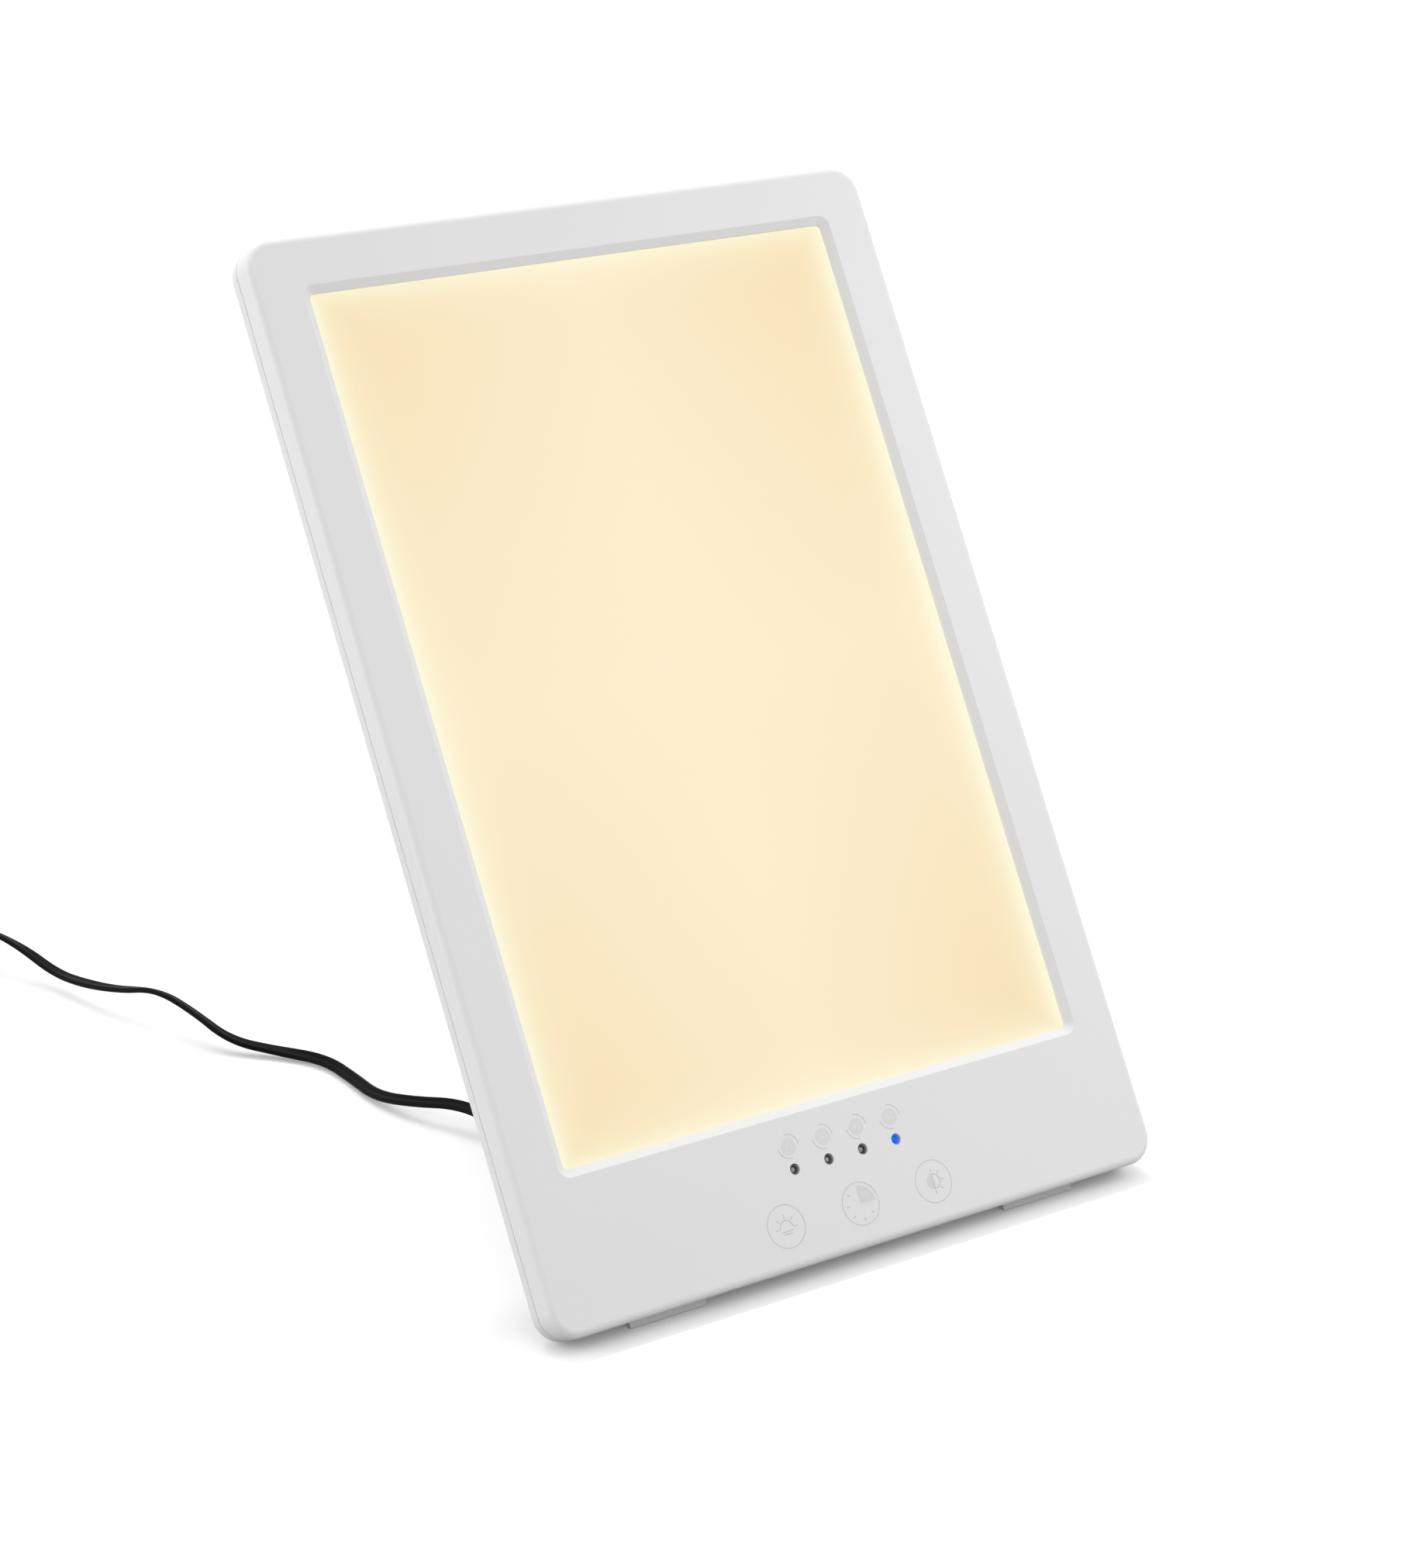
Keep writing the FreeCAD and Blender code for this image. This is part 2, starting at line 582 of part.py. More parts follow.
def light_seal():
    body = new_body("light_seal")
    outline = ring_sketch(body, "seal_outline", "front_wall", SHEET_WIDTH, SHEET_HEIGHT, SHEET_BOTTOM,
                          "seal_width", None)
    pad(body, outline, "seal_band", "seal_thickness")
    return body, PANEL


def heat_tray():
    """A folded aluminium tray: its floor backs the stack and its flanges carry the strips."""
    body = new_body("heat_tray")
    grown = f"(strip_board + strip_light + fit_clearance + tray_thickness)"
    floor = new_sketch(body, "tray_floor_outline", REFLECTOR_BACK)
    rectangle(floor, f"({SHEET_WIDTH} + 2 * {grown})", f"({SHEET_HEIGHT} + 2 * {grown})",
              f"({SHEET_BOTTOM} - {grown})", radius="1.5")
    pad(body, floor, "tray_floor", "tray_thickness")
    flange = ring_sketch(body, "flange_outline", REFLECTOR_BACK,
                         f"({SHEET_WIDTH} + 2 * {grown})", f"({SHEET_HEIGHT} + 2 * {grown})",
                         f"({SHEET_BOTTOM} - {grown})", "tray_thickness", "1.5")
    pad(body, flange, "tray_flanges", f"({REFLECTOR_BACK} - {DIFFUSER_BACK})", forward=True)
    return body, PANEL


def led_strip(name, upright, sign):
    """A strip on one flange of the tray, its lights against the guide's edge."""
    body = new_body(name)
    run = SHEET_HEIGHT if upright else SHEET_WIDTH
    across = SHEET_WIDTH if upright else SHEET_HEIGHT
    length = f"({run} - 4)"
    count = max(2, int((number(length) - number("light_pitch")) // number("light_pitch")) + 1)
    deep = f"(guide_thickness - 2 * fit_clearance)"
    middle = f"({SHEET_BOTTOM} + {SHEET_HEIGHT} / 2)"
    board_offset = f"({across} / 2 + strip_light + fit_clearance + strip_board / 2)"
    light_offset = f"({across} / 2 + fit_clearance + (strip_light + 0.1) / 2)"
    span = f"({count - 1} * light_pitch)"

    board = new_sketch(body, f"{name}_board_outline", f"{DIFFUSER_BACK} + fit_clearance")
    lights = new_sketch(body, f"{name}_light_outline",
                        f"{DIFFUSER_BACK} + guide_thickness / 2 - light_height / 2")
    if upright:
        rectangle(board, "strip_board", length, f"({middle} - {length} / 2)", centre=f"{sign}{board_offset}")
        rectangle(lights, "(strip_light + 0.1)", "light_length", f"({middle} - {span} / 2 - light_length / 2)",
                  centre=f"{sign}{light_offset}")
    else:
        rectangle(board, length, "strip_board", f"({middle} {sign or '+'} {board_offset} - strip_board / 2)")
        rectangle(lights, "light_length", "(strip_light + 0.1)",
                  f"({middle} {sign or '+'} {light_offset} - (strip_light + 0.1) / 2)",
                  centre=f"(-{span} / 2)")
    pad(body, board, f"{name}_board", deep)
    light = pad(body, lights, f"{name}_light", "light_height")
    row = body.newObject("PartDesign::LinearPattern", f"{name}_row")
    row.Originals = [light]
    row.Direction = (origin_piece(body, "Y_Axis" if upright else "X_Axis"), [""])
    row.Occurrences = count
    bind(row, "Length", span)
    body.Tip = row
    return body, PANEL


# Controls


def control_board():
    body = new_body("control_board")
    outline = new_sketch(body, "board_outline", "board_depth")
    rectangle(outline, "board_width", "board_height", "board_bottom", radius="2")
    for x, y in board_screw_spots():
        circle(outline, x, y, "(board_screw_shank + 0.2)")
    pad(body, outline, "board", "board_thickness")
    return body, PANEL


def control_parts():
    """The controller, driver, coil and two capacitors on the back of the control board.

    Each is given by its length and width, and by how far its middle is across from the
    board's middle and its lower edge up the board, all as shares of the board's height.
    """
    component_shares = [
        ("controller", 0.27, 0.27, 0.08, 0.19),
        ("driver", 0.19, 0.23, 1, 0.31),
        ("coil", 0.31, 0.31, -0.62, 0.23),
        ("first_capacitor", 0.19, 0.19, -1.08, 0.27),
        ("second_capacitor", 0.19, 0.19, 1.46, 0.46),
    ]
    pieces = []
    for name, length, width, across, up in component_shares:
        piece = document.addObject("Part::Box", f"control_{name}")
        bind(piece, "Length", f"{length} * board_height")
        bind(piece, "Width", f"{width} * board_height")
        bind(piece, "Height", "component_height")
        bind(piece, "Placement.Base.x", f"({across} - {length} / 2) * board_height")
        bind(piece, "Placement.Base.y", f"board_bottom + {up} * board_height")
        bind(piece, "Placement.Base.z", f"-{BOARD_BACK} - component_height")
        pieces.append(piece)
    group = document.addObject("Part::Compound", "control_parts")
    group.Label = "control_parts"
    group.Links = pieces
    return group, PANEL


def led_holder():
    """A dark block behind the face, with a collar round each timer light."""
    body = new_body("led_holder")
    block = new_sketch(body, "holder_outline", "front_wall")
    rectangle(block, "(3 * timer_pitch + 2 * holder_margin)", "holder_height",
              "(timer_height - holder_height / 2)", radius="1")
    pad(body, block, "holder_block", "(board_depth - front_wall)")
    collars = new_sketch(body, "collar_circles", "front_wall + 0.2")
    for index in range(len(TIMERS)):
        circle(collars, timer_side(index), "timer_height", "timer_collar")
    pad(body, collars, "collars", "(front_wall + 0.2 - collar_depth)", forward=True)
    wells = new_sketch(body, "well_circles", "collar_depth")
    for index in range(len(TIMERS)):
        circle(wells, timer_side(index), "timer_height", "(timer_lens + 0.05)")
    pocket(body, wells, "wells", "board_depth")
    return body, PANEL


def timer_led(index, minutes):
    """A small domed lamp on the control board, turned about its own axis."""
    name = f"timer_led_{minutes}"
    body = new_body(name)
    sketch = new_sketch(body, f"{name}_profile", plane="XZ_Plane")
    top = "(-lens_depth)"
    shoulder = "(-lens_depth - timer_lens)"
    foot = "(-board_depth)"
    reach = number("timer_lens")
    dome = Part.ArcOfCircle(Part.Circle(Vector(0, number(shoulder), 0), Vector(0, 0, 1), reach), 0, math.pi / 2)
    arc = sketch.addGeometry(dome, False)
    corners = [(0, number(top)), (0, number(foot)), (reach, number(foot)), (reach, number(shoulder))]
    lines = [sketch.addGeometry(Part.LineSegment(Vector(*corners[k], 0), Vector(*corners[k + 1], 0)), False)
             for k in range(3)]
    sketch.addConstraint(Sketcher.Constraint("Coincident", arc, 2, lines[0], 1))
    sketch.addConstraint(Sketcher.Constraint("Coincident", lines[0], 2, lines[1], 1))
    sketch.addConstraint(Sketcher.Constraint("Coincident", lines[1], 2, lines[2], 1))
    sketch.addConstraint(Sketcher.Constraint("Coincident", lines[2], 2, arc, 1))
    sketch.addConstraint(Sketcher.Constraint("PointOnObject", arc, 3, -2))
    sketch.addConstraint(Sketcher.Constraint("PointOnObject", lines[0], 1, -2))
    sketch.addConstraint(Sketcher.Constraint("PointOnObject", lines[0], 2, -2))
    sketch.addConstraint(Sketcher.Constraint("Horizontal", lines[1]))
    sketch.addConstraint(Sketcher.Constraint("Vertical", lines[2]))
    hold(sketch, "Radius", (arc,), "timer_lens")
    hold(sketch, "DistanceY", (-1, 1, arc, 3), shoulder)
    hold(sketch, "DistanceY", (-1, 1, lines[1], 1), foot)
    turned = body.newObject("PartDesign::Revolution", f"{name}_lens")
    turned.Profile = sketch
    turned.ReferenceAxis = (sketch, ["V_Axis"])
    turned.Angle = 360
    spot = Vector(number(timer_side(index)), number("timer_height"), 0)
    return body, PANEL.multiply(Placement(spot, Rotation()))


def tube_group(name, spots, outer, inner, length, depth):
    """Separate short tubes across the panel, as one node."""
    pieces = []
    for index, (x, y) in enumerate(spots, start=1):
        skin = document.addObject("Part::Cylinder", f"{name}_skin_{index}")
        bore = document.addObject("Part::Cylinder", f"{name}_bore_{index}")
        for piece, radius in ((skin, outer), (bore, inner)):
            bind(piece, "Radius", radius)
            bind(piece, "Height", length)
            bind(piece, "Placement.Base.x", x)
            bind(piece, "Placement.Base.y", y)
            bind(piece, "Placement.Base.z", f"-({depth}) - ({length})")
        tube = document.addObject("Part::Cut", f"{name}_{index}")
        tube.Base = skin
        tube.Tool = bore
        pieces.append(tube)
    group = document.addObject("Part::Compound", name)
    group.Label = name
    group.Links = pieces
    return group, PANEL


def touch_springs():
    spots = [(f"({index} * touch_pitch)", "touch_height") for index in (-1, 0, 1)]
    return tube_group("touch_springs", spots, "touch_spring_radius",
                      "(touch_spring_radius - touch_spring_wall)", "(board_depth - front_wall)", "front_wall")


def screw_group(name, spots, shank, head, head_height, length, seat, turned=1):
    """Screws whose heads sit on a seat at one depth and whose shanks run forward."""
    pieces = []
    for index, (x, y) in enumerate(spots, start=1):
        body = document.addObject("Part::Cylinder", f"{name}_shank_{index}")
        cap = document.addObject("Part::Cylinder", f"{name}_head_{index}")
        bind(body, "Radius", shank)
        bind(body, "Height", f"{length}")
        bind(cap, "Radius", head)
        bind(cap, "Height", head_height)
        for piece, low in ((body, f"-({seat})"), (cap, f"-({seat}) - ({head_height})")):
            bind(piece, "Placement.Base.x", x)
            bind(piece, "Placement.Base.y", y)
            bind(piece, "Placement.Base.z", low)
        screw = document.addObject("Part::Fuse", f"{name}_{index}")
        screw.Base = body
        screw.Tool = cap
        pieces.append(screw)
    group = document.addObject("Part::Compound", name)
    group.Label = name
    group.Links = pieces
    return group, PANEL


def shell_screws():
    return screw_group("shell_screws", screw_spots(), "(screw_shank - 2 * thread_bite)", "screw_head", "screw_head_height",
                       "screw_length", "(panel_depth - counterbore_depth)")


def board_screws():
    return screw_group("board_screws", board_screw_spots(), "(board_screw_shank - 2 * thread_bite)", "board_screw_head", "1.2",
                       "board_screw_length", BOARD_BACK)


# Power socket


def dc_jack():
    body = new_body("dc_jack")
    outline = new_sketch(body, "jack_outline", BOARD_BACK)
    rectangle(outline, "jack_width", "jack_body", "(jack_height - jack_body / 2)", centre="jack_side")
    pad(body, outline, "jack_block", f"({HUMP_BACK} - hump_wall - fit_clearance - {BOARD_BACK})")
    bore = new_sketch(body, "jack_bore_circle", f"({HUMP_BACK} - hump_wall - fit_clearance)")
    circle(bore, "jack_side", "jack_height", "jack_bore")
    pocket(body, bore, "jack_socket",
           f"({HUMP_BACK} - hump_wall - fit_clearance - {BOARD_BACK} - jack_floor)", forward=True)
    return body, PANEL


def dc_jack_pin():
    body = new_body("dc_jack_pin")
    outline = new_sketch(body, "jack_pin_circle", f"{BOARD_BACK} + jack_floor")
    circle(outline, "jack_side", "jack_height", "jack_pin")
    pin = pad(body, outline, "jack_pin", f"({HUMP_BACK} - hump_wall - 1 - {BOARD_BACK} - jack_floor)")
    fillet(body, pin, "jack_pin_tip", "jack_pin * 0.6", at_depth(f"({HUMP_BACK} - hump_wall - 1)"))
    return body, PANEL


# Stand
# A plate leg with a hinge barrel, a heel that stops it open against the recess floor,
# and lightening pockets on the side that faces the panel.

HEEL_RADIUS = "((sqrt(pow(" + FLOOR_REACH + " + stand_thickness / 2 * cos(open_angle); 2) / " \
    "pow(sin(open_angle); 2) + pow(stand_thickness / 2; 2))))"


def stand_leg():
    body = new_body("stand_leg")
    plate = new_sketch(body, "plate_outline", "-stand_thickness / 2")
    low = -PLATE_LENGTH
    polygon(plate, [("-stand_width / 2", "0"), ("-stand_tip_width / 2", f"{low}"),
                    ("stand_tip_width / 2", f"{low}"), ("stand_width / 2", "0")])
    leg = pad(body, plate, "plate", "stand_thickness")
    corners = fillet(body, leg, "plate_corners", "hump_slope",
                     lambda edge: (edge.BoundBox.YMax < low + 1e-3 and edge.BoundBox.XLength < 1e-3
                                   and edge.BoundBox.ZLength > 1))

    barrel = new_sketch(body, "barrel_circle", plane="YZ_Plane")
    circle(barrel, "0", "0", "barrel_radius")
    pad(body, barrel, "barrel", "stand_width", both_ways=True)

    heel = new_sketch(body, "heel_outline", plane="YZ_Plane")
    polygon(heel, [("0", "0"), (f"({FLOOR_REACH} / sin(open_angle))", "0"),
                   (f"(({FLOOR_REACH} + stand_thickness / 2 * cos(open_angle)) / sin(open_angle))",
                    "-stand_thickness / 2"),
                   ("0", "-stand_thickness / 2")])
    pad(body, heel, "heel", "stand_width", both_ways=True)

    pockets = new_sketch(body, "pocket_outline", "-stand_thickness / 2")
    count = 4
    room = (PLATE_LENGTH - 10 - number("stand_rib") * (count + 1)) / count
    for index in range(count):
        bottom = -PLATE_LENGTH + number("stand_rib") + index * (room + number("stand_rib"))
        rectangle(pockets, "(stand_tip_width - 4 * stand_rib)", f"{room}", f"{bottom + 2}", radius="2")
    pocket(body, pockets, "pockets", "stand_pocket_depth")

    bore = new_sketch(body, "pin_circle", plane="YZ_Plane")
    circle(bore, "0", "0", "pin_radius")
    pocket(body, bore, "pin_bore", "(stand_width + 2)", both_ways=True)
    return body, STAND


def stand_side_pieces(name, outer, inner, length, gap):
    """A round piece on the hinge axis at each side of the stand, hollow if inner is given."""
    pieces = []
    for side in (-1, 1):
        solid = document.addObject("Part::Cylinder", f"{name}_solid_{'left' if side < 0 else 'right'}")
        bind(solid, "Radius", outer)
        bind(solid, "Height", length)
        start = f"(stand_width / 2 + {gap})"
        solid.Placement.Rotation = Rotation(Vector(0, 1, 0), 90)
        bind(solid, "Placement.Base.x", start if side > 0 else f"(-{start} - {length})")
        piece = solid
        if inner:
            bore = document.addObject("Part::Cylinder", f"{name}_bore_{'left' if side < 0 else 'right'}")
            bind(bore, "Radius", inner)
            bind(bore, "Height", length)
            bore.Placement.Rotation = Rotation(Vector(0, 1, 0), 90)
            bind(bore, "Placement.Base.x", start if side > 0 else f"(-{start} - {length})")
            piece = document.addObject("Part::Cut", f"{name}_{'left' if side < 0 else 'right'}")
            piece.Base = solid
            piece.Tool = bore
        pieces.append(piece)
    group = document.addObject("Part::Compound", name)
    group.Label = name
    group.Links = pieces
    return group


def stand_pins():
    length = "(pin_grip + stand_clearance + hump_wall + 1)"
    return stand_side_pieces("stand_pins", "(pin_radius - 0.01)", None, length, "(-pin_grip)"), STAND


def stand_bushes():
    return (stand_side_pieces("stand_bushes", "bush_radius", "(pin_radius + 0.03)", "(hump_wall + 1)",
                              "stand_clearance"), PANEL.multiply(HINGE))


def stand_washers():
    gap = "((stand_clearance - washer_thickness) / 2)"
    return (stand_side_pieces("stand_washers", "washer_radius", "(pin_radius + 0.05)", "washer_thickness", gap),
            STAND)


# What rests on the surface is cut level there


def below_surface():
    box = document.addObject("Part::Box", "below_surface")
    bind(box, "Length", "3 * panel_width")
    bind(box, "Width", "2 * panel_height")
    bind(box, "Height", "panel_height / 6")
    bind(box, "Placement.Base.x", "-1.5 * panel_width")
    bind(box, "Placement.Base.y", "-panel_height")
    bind(box, "Placement.Base.z", "-panel_height / 6")
    return box


def stand_shoe():
    block = document.addObject("Part::Box", "shoe_block")
    bind(block, "Length", "(stand_tip_width - 3 * hump_slope)")
    bind(block, "Width", "(shoe_length + 2 * stand_thickness)")
    bind(block, "Height", "stand_thickness")
    corner = Vector(-number("(stand_tip_width - 3 * hump_slope)") / 2,
                    -PLATE_LENGTH - number("(shoe_length + 2 * stand_thickness)"), -number("stand_thickness") / 2)
    block.Placement = STAND.multiply(Placement(corner, Rotation()))
    shoe = document.addObject("Part::Cut", "stand_shoe")
    shoe.Label = "stand_shoe"
    shoe.Base = block
    shoe.Tool = below_surface()
    return shoe, Placement()


def rubber_feet():
    pieces = []
    for side in (-1, 1):
        block = document.addObject("Part::Box", f"foot_block_{'left' if side < 0 else 'right'}")
        bind(block, "Length", "foot_length")
        bind(block, "Width", "(foot_seat + 6)")
        bind(block, "Height", "foot_depth")
        corner = Vector(side * number("foot_side") - number("foot_length") / 2, -6,
                        -number("foot_offset") - number("foot_depth"))
        block.Placement = PANEL.multiply(Placement(corner, Rotation()))
        foot = document.addObject("Part::Cut", f"rubber_foot_{'left' if side < 0 else 'right'}")
        foot.Base = block
        foot.Tool = below_surface()
        pieces.append(foot)
    group = document.addObject("Part::Compound", "rubber_feet")
    group.Label = "rubber_feet"
    group.Links = pieces
    return group, Placement()


# Plug and strain relief
# They lie on the socket's axis, which points straight out of the back.

SOCKET = PANEL.multiply(Placement(Vector(number("jack_side"), number("jack_height"), -number(HUMP_BACK)),
                                  Rotation(Vector(1, 0, 0), 180)))


def turned_piece(name, corners, placement):
    """A piece turned from a profile of radius and height pairs, its axis up Z."""
    body = new_body(name)
    sketch = new_sketch(body, f"{name}_profile", plane="XZ_Plane")
    polygon(sketch, corners)
    turned = body.newObject("PartDesign::Revolution", f"{name}_turned")
    turned.Profile = sketch
    turned.ReferenceAxis = (sketch, ["V_Axis"])
    turned.Angle = 360
    return body, placement


def dc_plug():
    top = "plug_length"
    waist = "(plug_radius - plug_waist)"
    corners = [("0", "fit_clearance"), ("(plug_radius - 0.6)", "fit_clearance"), ("plug_radius", "0.8"),
               ("plug_radius", f"{top} * 0.35"), (waist, f"{top} * 0.45"), (waist, f"{top} * 0.7"),
               ("plug_radius", f"{top} * 0.8"), ("plug_radius", f"({top} - 1.2)"),
               ("(plug_radius - 1.2)", top), ("0", top)]
    return turned_piece("dc_plug", corners, SOCKET)


def dc_plug_barrel():
    corners = [("plug_bore", "-barrel_length"), ("plug_barrel", "-barrel_length"),
               ("plug_barrel", "fit_clearance"), ("plug_bore", "fit_clearance")]
    return turned_piece("dc_plug_barrel", corners, SOCKET)


def dc_plug_relief():
    low = "plug_length"
    step = "relief_length / 9"
    corners = [("0", low)]
    for ring in range(5):
        share = ring / 4
        radius = f"(relief_root + (relief_tip - relief_root) * {share})"
        corners += [(radius, f"({low} + {2 * ring} * {step})"), (radius, f"({low} + {2 * ring + 1} * {step})")]
        if ring < 4:
            neck = f"({radius} - 0.4)"
            corners += [(neck, f"({low} + {2 * ring + 1} * {step})"), (neck, f"({low} + {2 * ring + 2} * {step})")]
    corners.append(("0", f"({low} + 9 * {step})"))
    return turned_piece("dc_plug_relief", corners, SOCKET)


# Cord
# The route is chosen by hand on the surface, from the strain relief's end to the coil.

RELIEF_END = SOCKET.multVec(Vector(0, 0, number("plug_length + relief_length")))
RELIEF_WAY = SOCKET.Rotation.multVec(Vector(0, 0, 1))

COIL_CENTRE = Vector(-152, 253.5, 0)
COIL_TURN = 90

FREE_RUN = [
    (-43.9, -8, 2),
    (-42.6, 8.5, 2.7),
    (-42, 24.5, 4.4),
    (-43.2, 40.5, 6.5),
    (-47.3, 56, 8),
    (-55.2, 70, 5.4),
    (-59, 85.5, 2.4),
    (-57.9, 101.5, 2),
    (-58.2, 118, 2.1),
    (-66.6, 131.5, 2),
    (-77.3, 143.3, 3.9),
    (-81.7, 158.2, 9.2),
    (-86.3, 173, 12.4),
    (-92.4, 188, 8.7),
    (-96.9, 203, 6.6),
    (-99.5, 219.2, 5.2),
    (-104.1, 233.8, 10.2),
    (-109.6, 248.6, 12.8),
    (-115.2, 263.5, 9.4),
    (-125.6, 276.2, 5.2),
]

ADAPTER_RUN = [
    (-182, 276.6, 3.4),
    (-195.5, 268.5, 2),
    (-202, 254.5, 4),
    (-203, 245.5, 6.75),
]

ADAPTER_SPOT = Vector(-203, 214, 0)


CORD_SIDES = 8


def fillet_path(points, name):
    """Straight runs joined by tangent arcs as large as the runs allow."""
    edges = []
    radii = []
    start = points[0]
    for index in range(1, len(points) - 1):
        corner = points[index]
        inward = points[index - 1] - corner
        outward = points[index + 1] - corner
        shorter = min(inward.Length, outward.Length)
        half_turn = (math.pi - inward.getAngle(outward)) / 2
        trim = 0.45 * shorter
        radii.append(trim / math.tan(half_turn))
        inward.normalize()
        outward.normalize()
        first = corner + inward * trim
        last = corner + outward * trim
        middle_way = inward + outward
        middle_way.normalize()
        sagitta = radii[-1] / math.cos(half_turn) - radii[-1]
        edges.append(Part.LineSegment(start, first).toShape())
        edges.append(Part.Arc(first, corner + middle_way * sagitta, last).toShape())
        start = last
    edges.append(Part.LineSegment(start, points[-1]).toShape())
    path = Part.Wire(edges)
    print(f"{name}: path {path.Length:.1f} mm, radii", " ".join(f"{radius:.0f}" for radius in radii))
    return path


def tube(path, name):
    """An eight-sided cord along a path, its volume compared with its section times its length."""
    radius = number("cord_radius")
    first = path.Edges[0]
    start = first.valueAt(first.FirstParameter)
    side = first.tangentAt(first.FirstParameter).cross(Vector(0, 0, 1)).normalize()
    upward = side.cross(first.tangentAt(first.FirstParameter))
    # The corners are on the round cord's surface, with a flat side downwards
    spacing = 2 * math.pi / CORD_SIDES
    corners = [start + side * radius * math.cos((index + 0.5) * spacing)
               + upward * radius * math.sin((index + 0.5) * spacing) for index in range(CORD_SIDES)]
    solid = path.makePipeShell([Part.makePolygon(corners + corners[:1])], True, False)
    expected = CORD_SIDES / 2 * math.sin(spacing) * radius ** 2 * path.Length
    print(f"{name}: volume {solid.Volume / expected:.4f} of section times length")
    feature = document.addObject("Part::Feature", name)
    feature.Label = name
    feature.Shape = solid
    return feature, Placement()


def coil_arcs():
    """The coil's half turns in its own frame, each starting on the X axis.

    The lower layer winds inward, one half turn climbs, and the upper layer winds out.
    A half turn is given by its start, radius, height and which way it bulges.
    """
    step = number("coil_pitch") / 2
    radius = number("coil_outer")
    level = number("coil_lift + cord_radius")
    turns = round((radius - number("coil_inner")) / (2 * step))
    here = radius
    bulge = 1
    arcs = []
    for half in range(4 * turns + 2):
        climbs = half == 2 * turns + 1
        rise = 2 * step if climbs else 0
        arcs.append((here, radius, level, bulge, rise))
        here -= bulge * 2 * radius
        bulge = -bulge
        level += rise
        radius += step if half > 2 * turns else -step
    return arcs


def half_turn(here, radius, level, bulge, rise):
    """A half turn against the clock, as a half circle tilted by what it climbs."""
    start = Vector(here, 0, level)
    end = Vector(here - bulge * 2 * radius, 0, level + rise)
    middle = (start + end) / 2
    reach = (end - start).Length / 2
    return Part.Arc(start, middle + Vector(0, bulge * reach, 0), end).toShape()


def coil_path():
    edges = [half_turn(*arc) for arc in coil_arcs()]
    # The ends run straight for one diameter
    lead = Vector(0, 2 * number("cord_radius"), 0)
    start = edges[0].valueAt(edges[0].FirstParameter)
    end = edges[-1].valueAt(edges[-1].LastParameter)
    edges.insert(0, Part.LineSegment(start - lead, start).toShape())
    edges.append(Part.LineSegment(end, end + lead).toShape())
    path = Part.Wire(edges)
    path.Placement = Placement(COIL_CENTRE, Rotation(Vector(0, 0, 1), COIL_TURN))
    return path


def least_self_gap(path, name):
    """The least gap between stretches of the wound cord more than half a turn apart."""
    spacing = 2
    spots = path.discretize(Distance=spacing)
    apart = int(math.pi * number("coil_inner") / spacing)
    least = min((spots[index] - other).Length for index in range(0, len(spots), 2)
                for other in spots[index + apart:])
    gap = least - 2 * number("cord_radius")
    print(f"{name}: length {path.Length:.0f} mm, least gap to itself {gap:.2f} mm")
    return gap


def cord_tie():
    """A band round the wound turns, flat beneath them."""
    skin = document.addObject("Part::Box", "tie_skin")
    room = document.addObject("Part::Box", "tie_room")
    near = "(sqrt(pow(coil_inner - cord_radius; 2) - pow(tie_width / 2; 2)) - 0.3)"
    inside = f"(coil_outer + cord_radius + 0.3 - {near})"
    tall = "(coil_pitch + 2 * cord_radius + 0.4)"
    for piece, grown in ((skin, "tie_thickness"), (room, "0")):
        bind(piece, "Length", f"{inside} + 2 * {grown}")
        bind(piece, "Height", f"{tall} + 2 * {grown}")
        bind(piece, "Placement.Base.x", f"{near} - {grown}")
        bind(piece, "Placement.Base.z", f"coil_lift - 0.2 - {grown}")
    bind(skin, "Width", "tie_width")
    bind(room, "Width", "tie_width")
    bind(skin, "Placement.Base.y", "-tie_width / 2")
    bind(room, "Placement.Base.y", "-tie_width / 2")
    band = document.addObject("Part::Cut", "cord_tie")
    band.Label = "cord_tie"
    band.Base = skin
    band.Tool = room
    return band, Placement(COIL_CENTRE, Rotation(Vector(0, 0, 1), 205))


# Wall adapter
# It lies on its side beside the coil: a case with the mains blades and a cover with the cord.


def adapter_box(name, start, length):
    body = new_body(name)
    outline = new_sketch(body, f"{name}_outline", plane="XZ_Plane", depth=f"-({start})")
    rectangle(outline, "adapter_width", "adapter_height", "0", radius="adapter_radius")
    block = body.newObject("PartDesign::Pad", f"{name}_block")
    block.Profile = outline
    bind(block, "Length", length)
    block.Reversed = False
    return body, block


def adapter_case():
    body, block = adapter_box("adapter_case", "0", "(adapter_length - adapter_cover)")
    low = -number("adapter_length - adapter_cover")
    fillet(body, block, "case_edge", "1.5",
           lambda edge: all(abs(abs(point.y) - abs(low)) < 1e-4 for point in edge.discretize(5)))
    return body, Placement(ADAPTER_SPOT, Rotation())


def adapter_cover():
    body, block = adapter_box("adapter_cover", "-adapter_cover - 0.15", "adapter_cover")
    fillet(body, block, "cover_edge", "2.5",
           lambda edge: all(abs(abs(point.y) - number("adapter_cover + 0.15")) < 1e-4
                            for point in edge.discretize(5)))
    return body, Placement(ADAPTER_SPOT, Rotation())


